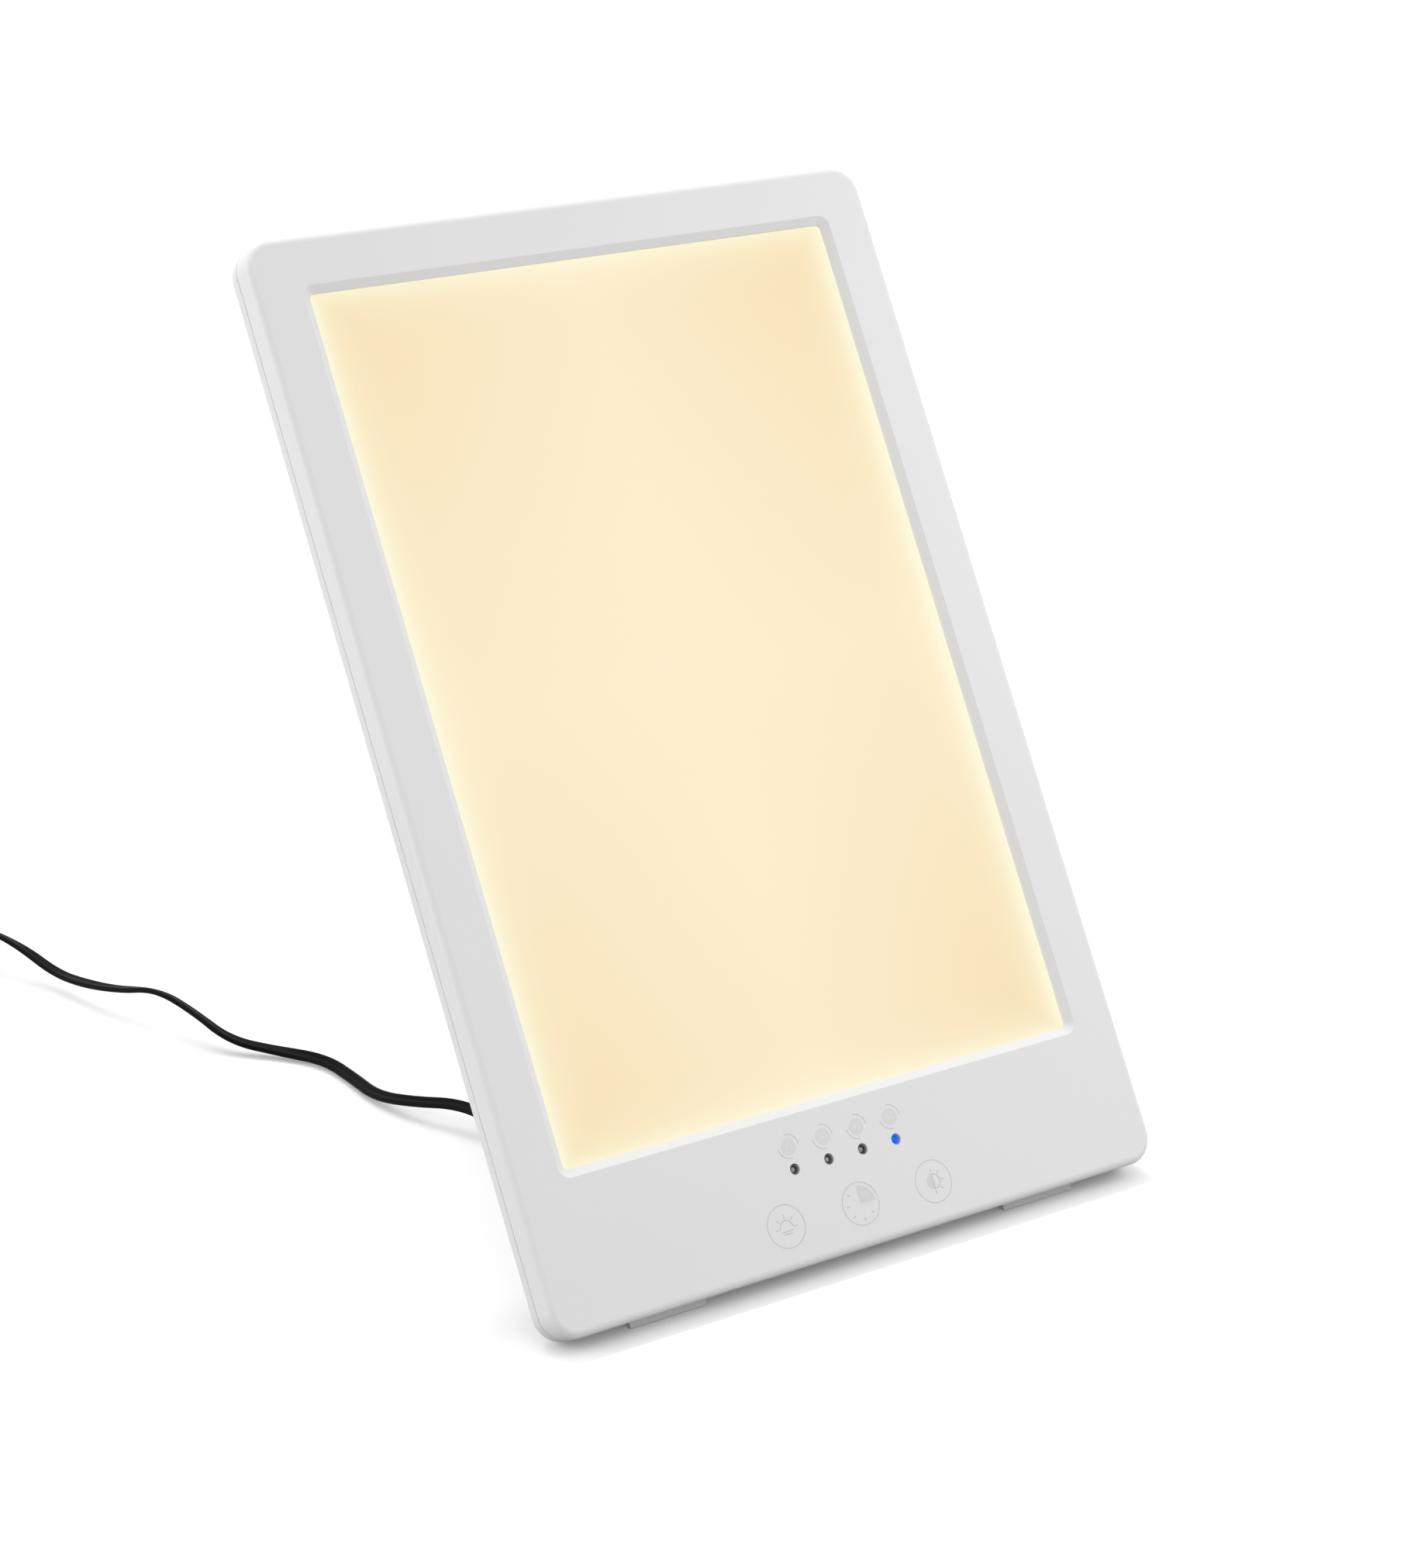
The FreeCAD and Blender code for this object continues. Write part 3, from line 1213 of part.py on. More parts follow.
def adapter_blades():
    pieces = []
    for side in (-1, 1):
        blade = document.addObject("Part::Box", f"blade_{'left' if side < 0 else 'right'}")
        bind(blade, "Length", "blade_thickness")
        bind(blade, "Width", "blade_length")
        bind(blade, "Height", "blade_width")
        bind(blade, "Placement.Base.x", f"{side} * blade_spacing / 2 - blade_thickness / 2")
        bind(blade, "Placement.Base.y", "-(adapter_length - adapter_cover) - blade_length")
        bind(blade, "Placement.Base.z", "adapter_height / 2 - blade_width / 2")
        rounded = document.addObject("Part::Fillet", f"rounded_blade_{'left' if side < 0 else 'right'}")
        rounded.Base = blade
        document.recompute()
        tip = blade.Placement.Base.y
        picked = [index for index, edge in enumerate(blade.Shape.Edges, start=1)
                  if edge.BoundBox.YMax < tip + 1e-4 and edge.BoundBox.XLength > 1]
        rounded.Edges = [(index, 1.5, 1.5) for index in picked]
        pieces.append(rounded)
    group = document.addObject("Part::Compound", "adapter_blades")
    group.Label = "adapter_blades"
    group.Links = pieces
    return group, Placement(ADAPTER_SPOT, Rotation())


def adapter_relief():
    low = "0"
    corners = [(low, "0"), ("3.2", "0"), ("3.2", "2"), ("relief_tip", "14"), (low, "14")]
    spot = ADAPTER_SPOT + Vector(0, number("adapter_cover") + 0.15, number("adapter_height") / 4)
    return turned_piece("adapter_relief", corners, Placement(spot, Rotation(Vector(1, 0, 0), -90)))


def cord_pieces():
    coil = coil_path()
    coil_start = coil.Edges[0].valueAt(coil.Edges[0].FirstParameter)
    coil_end = coil.Edges[-1].valueAt(coil.Edges[-1].LastParameter)
    coil_way = coil.Edges[0].tangentAt(coil.Edges[0].FirstParameter)
    end_way = coil.Edges[-1].tangentAt(coil.Edges[-1].LastParameter)
    least_self_gap(coil, "cord_coil")

    free_points = [RELIEF_END, RELIEF_END + RELIEF_WAY * 10.2]
    free_points += [Vector(*spot) for spot in FREE_RUN]
    free_points += [coil_start - coil_way * 12, coil_start]
    free_path = fillet_path(free_points, "cord_free_run")

    relief_spot = ADAPTER_SPOT + Vector(0, number("adapter_cover") + 14.15, number("adapter_height") / 4)
    adapter_points = [coil_end, coil_end + end_way * 12]
    adapter_points += [Vector(*spot) for spot in ADAPTER_RUN]
    adapter_points += [relief_spot]
    adapter_path = fillet_path(adapter_points, "cord_adapter_run")
    total = free_path.Length + coil.Length + adapter_path.Length
    print(f"cord: {total:.0f} mm in all")
    return [tube(free_path, "cord_free_run"), tube(coil, "cord_coil"), tube(adapter_path, "cord_adapter_run")]


# Every piece with its place

PIECES = [
    front_shell(),
    rear_shell(),
    light_seal(),
    flat_sheet("diffuser_panel", SEAL_BACK, "diffuser_thickness"),
    flat_sheet("light_guide", DIFFUSER_BACK, "guide_thickness"),
    flat_sheet("reflector_sheet", GUIDE_BACK, "reflector_thickness"),
    heat_tray(),
    led_strip("led_strip_left", True, "-"),
    led_strip("led_strip_right", True, ""),
    led_strip("led_strip_top", False, ""),
    led_strip("led_strip_bottom", False, "-"),
    control_board(),
    control_parts(),
    led_holder(),
    touch_springs(),
    shell_screws(),
    board_screws(),
    dc_jack(),
    dc_jack_pin(),
    rubber_feet(),
    stand_leg(),
    stand_pins(),
    stand_bushes(),
    stand_washers(),
    stand_shoe(),
    dc_plug(),
    dc_plug_barrel(),
    dc_plug_relief(),
    adapter_case(),
    adapter_cover(),
    adapter_blades(),
    adapter_relief(),
    cord_tie(),
]
PIECES += [timer_led(index, minutes) for index, minutes in enumerate(TIMERS)]
PIECES += cord_pieces()

for piece, place in PIECES:
    piece.Placement = place.multiply(piece.Placement) if piece.TypeId == "Part::Feature" else place
document.recompute()

for item in document.Objects:
    if "Invalid" in item.State or "Error" in item.State:
        raise RuntimeError(f"{item.Label} failed: {item.State}")

os.makedirs("parts", exist_ok=True)
for piece, place in PIECES:
    shape = piece.Shape
    if shape.isNull() or not shape.isValid() or not shape.Solids:
        raise RuntimeError(f"{piece.Label} has no valid solid")
    shape.exportStep(os.path.join("parts", piece.Label + ".step"))
    print(f"{piece.Label}: {len(shape.Solids)} solid(s), {shape.Volume:.1f} mm3")

pivot = STAND.Base
print(f"hinge axis at {pivot.x:.3f} {pivot.y:.3f} {pivot.z:.3f}")
print(f"socket at {SOCKET.Base.x:.3f} {SOCKET.Base.y:.3f} {SOCKET.Base.z:.3f}, "
      f"cord leaves at {RELIEF_END.x:.3f} {RELIEF_END.y:.3f} {RELIEF_END.z:.3f}")
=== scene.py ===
# %% [markdown]
# # A light therapy lamp
# This lesson dresses a finished CAD model of a light therapy lamp: a slim white panel
# that leans back on a hidden stand and glows a warm white through its window. The solids
# are already the right shape, so most of the work is in the finishes, the printed marks
# and the flat power lead.

# %% Load the solids
import math

import bpy
from mathutils import Matrix, Vector


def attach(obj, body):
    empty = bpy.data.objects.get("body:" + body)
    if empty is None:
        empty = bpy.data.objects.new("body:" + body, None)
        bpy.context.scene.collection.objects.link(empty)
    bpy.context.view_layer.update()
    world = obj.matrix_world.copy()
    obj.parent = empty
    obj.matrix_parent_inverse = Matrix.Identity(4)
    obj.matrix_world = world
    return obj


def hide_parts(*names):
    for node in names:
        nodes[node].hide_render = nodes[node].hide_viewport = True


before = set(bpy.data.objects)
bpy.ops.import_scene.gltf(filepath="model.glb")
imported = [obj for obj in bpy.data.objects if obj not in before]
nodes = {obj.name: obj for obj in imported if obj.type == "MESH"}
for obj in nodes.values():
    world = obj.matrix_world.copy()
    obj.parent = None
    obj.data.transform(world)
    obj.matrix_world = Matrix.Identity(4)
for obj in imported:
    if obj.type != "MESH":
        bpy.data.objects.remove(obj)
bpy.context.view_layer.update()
print("nodes:", len(nodes))

MM = 0.001

# %% [markdown]
# ## The panel's own plane
# Everything printed on the face is easiest to draw flat, on a page that is the face
# itself: X across from the middle, Y up from the lower edge, Z out of the face. One
# matrix then leans that page back to where the lamp's face is.

# %% The face as a drawing page
PANEL_LEAN = math.radians(30.4)
PANEL_FOOT = Vector((0, -81.068, 5.669)) * MM
PANEL = Matrix.Translation(PANEL_FOOT) @ Matrix.Rotation(math.pi / 2 - PANEL_LEAN, 4, "X")

WINDOW_SIDE = 85.9 * MM
WINDOW_LOW = 40 * MM
WINDOW_HIGH = 285.9 * MM
BEVEL = 2.2 * MM
PANEL_HEIGHT = 300 * MM
print("the face leans back", round(math.degrees(PANEL_LEAN), 1), "degrees")

# %% [markdown]
# ## The camera
# The photograph looks at the lamp from its left and a little above, with a long lens
# that keeps the edges nearly parallel. The camera's place and lens were worked out from
# the corners of the housing and the window.

# %% Camera
CAMERA_PLACE = Vector((-555.15, -817.55, 466.8)) * MM
CAMERA_LOOK = Vector((0.5293, 0.7789, -0.3365))
CAMERA_LENS = 87.25
SENSOR_HEIGHT = 36
NEAREST, FARTHEST = 0.01, 50

camera_data = bpy.data.cameras.new("camera")
camera_data.sensor_fit = "VERTICAL"
camera_data.sensor_height = SENSOR_HEIGHT
camera_data.lens = CAMERA_LENS
camera_data.clip_start = NEAREST
camera_data.clip_end = FARTHEST
camera = bpy.data.objects.new("camera", camera_data)
bpy.context.scene.collection.objects.link(camera)
camera.location = CAMERA_PLACE
camera.rotation_euler = CAMERA_LOOK.to_track_quat("-Z", "Y").to_euler()
bpy.context.scene.camera = camera
print("camera:", [round(part, 3) for part in camera.location], "lens", camera_data.lens)

# %% [markdown]
# ## The power lead
# The lead is a flat twin cord: two round insulated wires side by side, joined by a thin
# web. It leaves the plug behind the panel, rises and falls in loose waves as a stiff lead
# does when it comes out of its box, and the rest of it lies coiled beside the picture.
# The route is a smooth NURBS curve, and the figure-of-eight section is swept along points
# read from it, so that the lead can roll over on its side where the real one does.

# The route is in millimetres up to the line that scales it
RELIEF_END = Vector((-45, -31.697, 8.007))
RELIEF_WAY = Vector((0, 0.86251, -0.50603))
RELIEF_STRAIGHT = 10.2

FREE_RUN = [
    (-43.9, -8, 2),
    (-42.6, 8.5, 2.7),
    (-42, 24.5, 4.4),
    (-43.2, 40.5, 6.5),
    (-47.3, 56, 8),
    (-55.2, 70, 5.4),
    (-59, 85.5, 2.4),
    (-57.9, 101.5, 2),
    (-58.2, 118, 2.1),
    (-66.6, 131.5, 2),
    (-77.3, 143.3, 3.9),
    (-81.7, 158.2, 9.2),
    (-86.3, 173, 12.4),
    (-92.4, 188, 8.7),
    (-96.9, 203, 6.6),
    (-99.5, 219.2, 5.2),
    (-104.1, 233.8, 10.2),
    (-109.6, 248.6, 12.8),
    (-115.2, 263.5, 9.4),
    (-125.6, 276.2, 5.2),
    (-136.2, 281.5, 2.8),
    (-148.2, 281.5, 2.8),
]

ADAPTER_RUN = [
    (-155.8, 277.1, 7.2),
    (-167.8, 277.1, 7.2),
    (-182, 276.6, 3.4),
    (-195.5, 268.5, 2),
    (-202, 254.5, 4),
    (-203, 245.5, 6.75),
    (-203, 237.15, 6.75),
]

COIL_CENTRE = (-152, 253.5)
COIL_OUTER = 28
COIL_STEP = 2.2
COIL_TURNS = 3
COIL_LEVEL = 2.8
POINTS_IN_HALF = 6
ROUTE_ORDER = 3
ROUTE_STEPS = 8


def coil_points():
    """Half turns that wind inward, climb a layer and wind out again."""
    spacing = math.pi / POINTS_IN_HALF
    points = []
    start, radius, level, bulge = COIL_OUTER, COIL_OUTER, COIL_LEVEL, 1
    for half in range(4 * COIL_TURNS + 2):
        rise = 2 * COIL_STEP if half == 2 * COIL_TURNS + 1 else 0
        middle = start - bulge * radius
        # A spline runs inside its points, so they stand a little further out
        reach = radius / math.cos(spacing / 2)
        for step in range(POINTS_IN_HALF):
            angle = (step + 0.5) * spacing
            x = middle + bulge * reach * math.cos(angle)
            y = bulge * reach * math.sin(angle)
            height = level + rise * (step + 0.5) / POINTS_IN_HALF
            points.append((COIL_CENTRE[0] - y, COIL_CENTRE[1] + x, height))
        start -= bulge * 2 * radius
        bulge = -bulge
        level += rise
        radius += COIL_STEP if half > 2 * COIL_TURNS else -COIL_STEP
    return points


route_points = [RELIEF_END, RELIEF_END + RELIEF_WAY * RELIEF_STRAIGHT]
route_points += [Vector(point) for point in FREE_RUN + coil_points() + ADAPTER_RUN]
route_points = [point * MM for point in route_points]

route_data = bpy.data.curves.new("lead_route", "CURVE")
route_data.dimensions = "3D"
route_data.resolution_u = ROUTE_STEPS
spline = route_data.splines.new("NURBS")
spline.points.add(len(route_points) - 1)
for spot, point in zip(spline.points, route_points):
    spot.co = (*point, 1)
spline.order_u = ROUTE_ORDER
spline.use_endpoint_u = True
route = bpy.data.objects.new("lead_route", route_data)
bpy.context.scene.collection.objects.link(route)
bpy.context.view_layer.update()
line_mesh = bpy.data.meshes.new_from_object(route)
path = [vertex.co.copy() for vertex in line_mesh.vertices]
bpy.data.objects.remove(route)
bpy.data.meshes.remove(line_mesh)

travelled = [0.0]
for before, after in zip(path, path[1:]):
    travelled.append(travelled[-1] + (after - before).length)
print(f"lead: {travelled[-1]:.3f} m along {len(path)} points")

# %% [markdown]
# The lead lies flat where it rests, and rolls onto its edge where it rises. The roll is
# given at a few distances from the plug and eased between them.

# %% Sweep the flat section
# Distance from the plug in millimetres, and the roll there in degrees
ROLLS = [
    (0, 0), (60, 20), (100, 27), (160, 30), (175, 10), (200, -24), (218, -24),
    (232, -4), (250, 10), (272, 2), (292, -24), (312, -24), (335, 0), (2000, 0),
]
WIRE = 0.86 * MM
WIRE_OFFSET = 1.04 * MM
WEB_ANGLE = 128
SECTION_CORNERS = 20
SMOOTH_BELOW = math.radians(60)


def eased(pairs, here):
    """The value at a distance, eased between the two pairs on either side of it."""
    for (low, first), (high, second) in zip(pairs, pairs[1:]):
        if here <= high:
            share = (here - low) / (high - low)
            share = share * share * (3 - 2 * share)
            return first + (second - first) * share
    return pairs[-1][1]


def twin_outline():
    """The lead's section: the outer part of each wire, from the web round to the web."""
    reach = math.radians(WEB_ANGLE)
    half = SECTION_CORNERS // 2
    outline = []
    for side in (1, -1):
        for index in range(half):
            angle = -reach + 2 * reach * index / (half - 1)
            across = WIRE_OFFSET + WIRE * math.cos(angle)
            outline.append((side * across, side * WIRE * math.sin(angle)))
    return outline


def sweep_lead(name):
    """A closed skin round the route, with a UV map that runs along the lead."""
    section = twin_outline()
    rings = []
    for index, point in enumerate(path):
        ahead = path[min(index + 1, len(path) - 1)] - path[max(index - 1, 0)]
        ahead.normalize()
        across = ahead.cross(Vector((0, 0, 1))).normalized()
        upward = across.cross(ahead)
        roll = math.radians(eased(ROLLS, travelled[index] / MM))
        wide = across * math.cos(roll) + upward * math.sin(roll)
        thick = upward * math.cos(roll) - across * math.sin(roll)
        rings.append([point + wide * x + thick * y for x, y in section])
    vertices = [corner for ring in rings for corner in ring]
    count = len(section)
    faces = []
    for ring in range(len(rings) - 1):
        for corner in range(count):
            following = (corner + 1) % count
            faces.append((ring * count + corner, ring * count + following,
                          (ring + 1) * count + following, (ring + 1) * count + corner))
    faces.append(tuple(reversed(range(count))))
    faces.append(tuple(range((len(rings) - 1) * count, len(rings) * count)))
    mesh = bpy.data.meshes.new(name)
    mesh.from_pydata(vertices, [], faces)
    uv = mesh.uv_layers.new(name="along")
    for polygon in mesh.polygons:
        for loop in polygon.loop_indices:
            vertex = mesh.loops[loop].vertex_index
            uv.data[loop].uv = (travelled[vertex // count], (vertex % count) / count)
    mesh.validate()
    piece = bpy.data.objects.new(name, mesh)
    bpy.context.scene.collection.objects.link(piece)
    return piece


power_lead = sweep_lead("power_lead")
bpy.ops.object.select_all(action="DESELECT")
power_lead.select_set(True)
bpy.context.view_layer.objects.active = power_lead
bpy.ops.object.mode_set(mode="EDIT")
bpy.ops.mesh.select_all(action="SELECT")
bpy.ops.mesh.normals_make_consistent(inside=False)
bpy.ops.object.mode_set(mode="OBJECT")
bpy.ops.object.shade_smooth_by_angle(angle=SMOOTH_BELOW)
power_lead.select_set(False)
print("power_lead:", len(power_lead.data.polygons), "faces")

# %% [markdown]
# ## Printed marks
# The controls are touch marks printed in a pale grey, so they are drawn on the flat page
# and given a print's thickness. Each kind of stroke is one small helper: a ring, an arc, a
# bar, a disc or a wedge, all made from primitives and shaped in edit mode.

# %% Drawing helpers
PRINT = 0.03 * MM
LINE = 0.17 * MM
CIRCLE_CORNERS = 40
ARC_STEP = 7
FEWEST_STEPS = 4
DIGIT_STEPS = 4
MERGE_BELOW = 0.0001 * MM


def start_drawing():
    """Nothing selected, so that the next operator works on its own new piece."""
    bpy.ops.object.select_all(action="DESELECT")


def finish_mark():
    """Gives the flat drawing in hand the thickness of a print."""
    piece = bpy.context.object
    bpy.ops.object.mode_set(mode="EDIT")
    bpy.ops.mesh.select_all(action="SELECT")
    bpy.ops.mesh.remove_doubles(threshold=MERGE_BELOW)
    bpy.ops.mesh.extrude_region_move(TRANSFORM_OT_translate={"value": (0, 0, PRINT)})
    bpy.ops.mesh.select_all(action="SELECT")
    bpy.ops.mesh.normals_make_consistent(inside=False)
    bpy.ops.object.mode_set(mode="OBJECT")
    piece.select_set(False)
    return piece


def disc_mark(x, y, radius):
    """A filled circle."""
    start_drawing()
    bpy.ops.mesh.primitive_circle_add(vertices=CIRCLE_CORNERS, radius=radius, fill_type="NGON")
    bpy.context.object.data.transform(Matrix.Translation((x, y, 0)))
    return finish_mark()


def bar_mark(x, y, length, angle, width=LINE):
    """A straight stroke about its middle."""
    start_drawing()
    bpy.ops.mesh.primitive_plane_add(size=1)
    turn = Matrix.Rotation(math.radians(angle), 4, "Z")
    shape = Matrix.Diagonal((length, width, 1, 1))
    bpy.context.object.data.transform(Matrix.Translation((x, y, 0)) @ turn @ shape)
    return finish_mark()


def arc_mark(x, y, radius, first, last, width=LINE):
    """A stroke round a centre, from one angle to another against the clock."""
    start_drawing()
    bpy.ops.mesh.primitive_plane_add(size=1)
    piece = bpy.context.object
    # The plane keeps only its near side, a short line across the stroke, and that is spun
    shape = Matrix.Diagonal((width, 1, 1, 1))
    piece.data.transform(Matrix.Translation((radius, 0.5, 0)) @ shape)
    bpy.ops.object.mode_set(mode="EDIT")
    bpy.ops.mesh.select_all(action="DESELECT")
    bpy.ops.object.mode_set(mode="OBJECT")
    for vertex in piece.data.vertices:
        vertex.select = vertex.co.y > 0.5
    bpy.ops.object.mode_set(mode="EDIT")
    bpy.ops.mesh.delete(type="VERT")
    bpy.ops.mesh.select_all(action="SELECT")
    steps = max(FEWEST_STEPS, int((last - first) / ARC_STEP))
    bpy.ops.mesh.spin(steps=steps, angle=-math.radians(last - first),
                      center=(0, 0, 0), axis=(0, 0, 1))
    bpy.ops.object.mode_set(mode="OBJECT")
    turn = Matrix.Rotation(math.radians(first), 4, "Z")
    piece.data.transform(Matrix.Translation((x, y, 0)) @ turn)
    return finish_mark()


def wedge_mark(x, y, radius, first, last):
    """A filled slice of a circle."""
    return arc_mark(x, y, radius / 2, first, last, width=radius)


def number_mark(words, x, y, size):
    """Digits that stand a print's thickness above the mark under them."""
    start_drawing()
    bpy.ops.object.text_add()
    text = bpy.context.object.data
    text.body = words
    text.size = size
    text.align_x = "CENTER"
    text.align_y = "CENTER"
    text.extrude = PRINT / 2
    text.resolution_u = DIGIT_STEPS
    bpy.ops.object.convert(target="MESH")
    piece = bpy.context.object
    piece.data.transform(Matrix.Translation((x, y, PRINT)))
    piece.select_set(False)
    return piece


def joined(pieces, name):
    """One piece from several, leaned back onto the face."""
    start_drawing()
    for piece in pieces:
        piece.select_set(True)
    bpy.context.view_layer.objects.active = pieces[0]
    bpy.ops.object.join()
    piece = bpy.context.object
    piece.name = name
    piece.data.name = name
    piece.data.transform(PANEL)
    piece.select_set(False)
    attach(piece, "panel")
    print(name, len(piece.data.polygons), "faces")
    return piece


# %% [markdown]
# ### Timer marks
# Above each of the four timer lights is a small grey disc with its minutes reversed out
# of it, held between two thin arcs.

# %% Timer marks
TIMERS = ["15", "30", "45", "60"]
TIMER_PITCH = 11.25 * MM
TIMER_MARK_Y = 32 * MM
TIMER_LIGHT_Y = 25.7 * MM
COLLAR = 1.7 * MM
TIMER_DISC = 2.3 * MM
TIMER_ARC = 3.3 * MM
TIMER_ARC_SPANS = ((0, 96), (180, 276))
DIGIT_SIZE = 2.9 * MM
timer_places = [(index - 1.5) * TIMER_PITCH for index in range(len(TIMERS))]

discs = [disc_mark(x, TIMER_MARK_Y, TIMER_DISC) for x in timer_places]
timer_discs = joined(discs, "timer_discs")
digits = [number_mark(words, x, TIMER_MARK_Y, DIGIT_SIZE) for words, x in zip(TIMERS, timer_places)]
timer_digits = joined(digits, "timer_digits")
arcs = [arc_mark(x, TIMER_MARK_Y, TIMER_ARC, *span) for x in timer_places for span in TIMER_ARC_SPANS]
timer_arcs = joined(arcs, "timer_arcs")

# %% [markdown]
# ### Touch marks
# Three circles mark where to touch: a rising sun for power, a clock face for the timer and
# a half-filled sun for the brightness.

# %% Touch marks
TOUCH_PITCH = 24.6 * MM
TOUCH_Y = 11.8 * MM
TOUCH_RADIUS = 5.85 * MM
SUN_LINE = 0.23 * MM
SUN_RADIUS = 2.05 * MM
RAY_MIDDLE = 3.05 * MM
SUNRISE_RAY, HALF_SUN_RAY = 1.2 * MM, 1.1 * MM
SUNRISE_DROP = 0.45 * MM
HORIZON_MIDDLE = 2.95 * MM
WATER_LINES = ((0.95 * MM, 3.9 * MM), (1.6 * MM, 2.6 * MM))
HOUR_LINE = 0.26 * MM
HOUR_MIDDLE, HOUR_LENGTH = 4.25 * MM, 0.9 * MM
CLOCK_SLICE = 4.9 * MM
DIGITS_OFFSET = 2 * MM


def spokes(x, y, radius, angles, length, width):
    """Short strokes that point away from a centre."""
    made = []
    for angle in angles:
        turn = math.radians(angle)
        middle = (x + radius * math.cos(turn), y + radius * math.sin(turn))
        made.append(bar_mark(*middle, length, angle, width))
    return made


strokes = [arc_mark(index * TOUCH_PITCH, TOUCH_Y, TOUCH_RADIUS, 0, 360) for index in (-1, 0, 1)]

# A rising sun, with two lines of water under its horizon
sun_x, sun_y = -TOUCH_PITCH, TOUCH_Y - SUNRISE_DROP
strokes.append(arc_mark(sun_x, sun_y, SUN_RADIUS, 0, 180, SUN_LINE))
strokes += spokes(sun_x, sun_y, RAY_MIDDLE, (45, 90, 135), SUNRISE_RAY, SUN_LINE)
strokes += spokes(sun_x, sun_y, HORIZON_MIDDLE, (0, 180), SUNRISE_RAY, SUN_LINE)
for drop, length in WATER_LINES:
    strokes.append(bar_mark(sun_x, sun_y - drop, length, 0, SUN_LINE))

# A clock's hours, and a half sun with its rays
strokes += spokes(0, TOUCH_Y, HOUR_MIDDLE, (135, 180, 225, 270, 315), HOUR_LENGTH, HOUR_LINE)
half_x = TOUCH_PITCH
strokes.append(arc_mark(half_x, TOUCH_Y, SUN_RADIUS, -90, 90, SUN_LINE))
strokes.append(bar_mark(half_x, TOUCH_Y, 2 * SUN_RADIUS, 90, SUN_LINE))
strokes += spokes(half_x, TOUCH_Y, RAY_MIDDLE, (-90, -45, 0, 45, 90), HALF_SUN_RAY, SUN_LINE)
touch_strokes = joined(strokes, "touch_strokes")

fills = [wedge_mark(0, TOUCH_Y, CLOCK_SLICE, 0, 90)]
fills.append(wedge_mark(half_x, TOUCH_Y, SUN_RADIUS + SUN_LINE / 2, 90, 270))
touch_fills = joined(fills, "touch_fills")
minutes = number_mark("15", DIGITS_OFFSET, TOUCH_Y + DIGITS_OFFSET, DIGIT_SIZE)
clock_digits = joined([minutes], "clock_digits")

# %% [markdown]
# ## Shader maths
# A finish is easier to read when its maths looks like maths. This class wraps a node's
# output, so that ordinary expressions build the Math nodes.


# %% Shader helpers
class Value:
    """A number that varies over the surface."""

    def __init__(self, finish, socket):
        self.finish = finish
        self.socket = socket

    def _math(self, operation, *others):
        return self.finish.node("ShaderNodeMath", {"operation": operation}, self, *others)

    def __add__(self, other):
        return self._math("ADD", other)

    def __radd__(self, other):
        return self._math("ADD", other)

    def __sub__(self, other):
        return self._math("SUBTRACT", other)

    def __rsub__(self, other):
        return self.finish.node("ShaderNodeMath", {"operation": "SUBTRACT"}, other, self)

    def __mul__(self, other):
        return self._math("MULTIPLY", other)

    def __rmul__(self, other):
        return self._math("MULTIPLY", other)

    def __truediv__(self, other):
        return self._math("DIVIDE", other)

    def __abs__(self):
        return self._math("ABSOLUTE")

    def lower(self, other):
        return self._math("MINIMUM", other)

    def higher(self, other):
        return self._math("MAXIMUM", other)

    def power(self, other):
        return self._math("POWER", other)

    def exponent(self):
        """e to this value."""
        return self._math("EXPONENT")


class Finish:
    """A material built round one Principled shader."""

    def __init__(self, name, **settings):
        self.material = bpy.data.materials.new(name)
        self.material.use_nodes = True
        self.tree = self.material.node_tree
        self.shader = self.tree.nodes["Principled BSDF"]
        for socket, value in settings.items():
            self.set(socket.replace("_", " "), value)

    def _feed(self, socket, value):
        if isinstance(value, Value):
            self.tree.links.new(value.socket, socket)
        else:
            socket.default_value = value

    def set(self, socket, value):
        self._feed(self.shader.inputs[socket], value)

    def node(self, kind, settings, *inputs, output=0, **named):
        """Any node, with its settings, its inputs in order and its inputs by name."""
        made = self.tree.nodes.new(kind)
        for key, value in settings.items():
            setattr(made, key, value)
        for key, value in enumerate(inputs):
            self._feed(made.inputs[key], value)
        for key, value in named.items():
            self._feed(made.inputs[key.replace("_", " ")], value)
        return Value(self, made.outputs[output])

    def position(self):
        return self.node("ShaderNodeTexCoord", {}, output="Object")

    def page(self):
        """Where a point is across and up the face's own page, in metres."""
        turned = self.node("ShaderNodeMapping", {"vector_type": "TEXTURE"}, Vector=self.position(),
                           Location=tuple(PANEL_FOOT), Rotation=(math.pi / 2 - PANEL_LEAN, 0, 0))
        parts = self.tree.nodes.new("ShaderNodeSeparateXYZ")
        self.tree.links.new(turned.socket, parts.inputs[0])
        return [Value(self, parts.outputs[axis]) for axis in ("X", "Y")]

    def noise(self, size, detail=2.0, roughness=0.5):
        """Soft noise whose blobs are about this size, from 0 to 1."""
        return self.node("ShaderNodeTexNoise", {}, Vector=self.position(), Scale=1 / size,
                         Detail=detail, Roughness=roughness)

    def blend(self, share, first, second):
        """A colour between two, by a share from 0 to 1."""
        mixed = self.tree.nodes.new("ShaderNodeMix")
        mixed.data_type = "RGBA"
        self._feed(mixed.inputs["Factor"], share)
        for name, value in (("A", first), ("B", second)):
            socket = next(s for s in mixed.inputs if s.name == name and s.type == "RGBA")
            self._feed(socket, value)
        return Value(self, next(s for s in mixed.outputs if s.type == "RGBA"))

    def bump(self, height, depth, strength=1.0):
        """Small relief, depth in metres."""
        relief = self.node("ShaderNodeBump", {}, Strength=strength, Distance=depth, Height=height)
        self.set("Normal", relief)


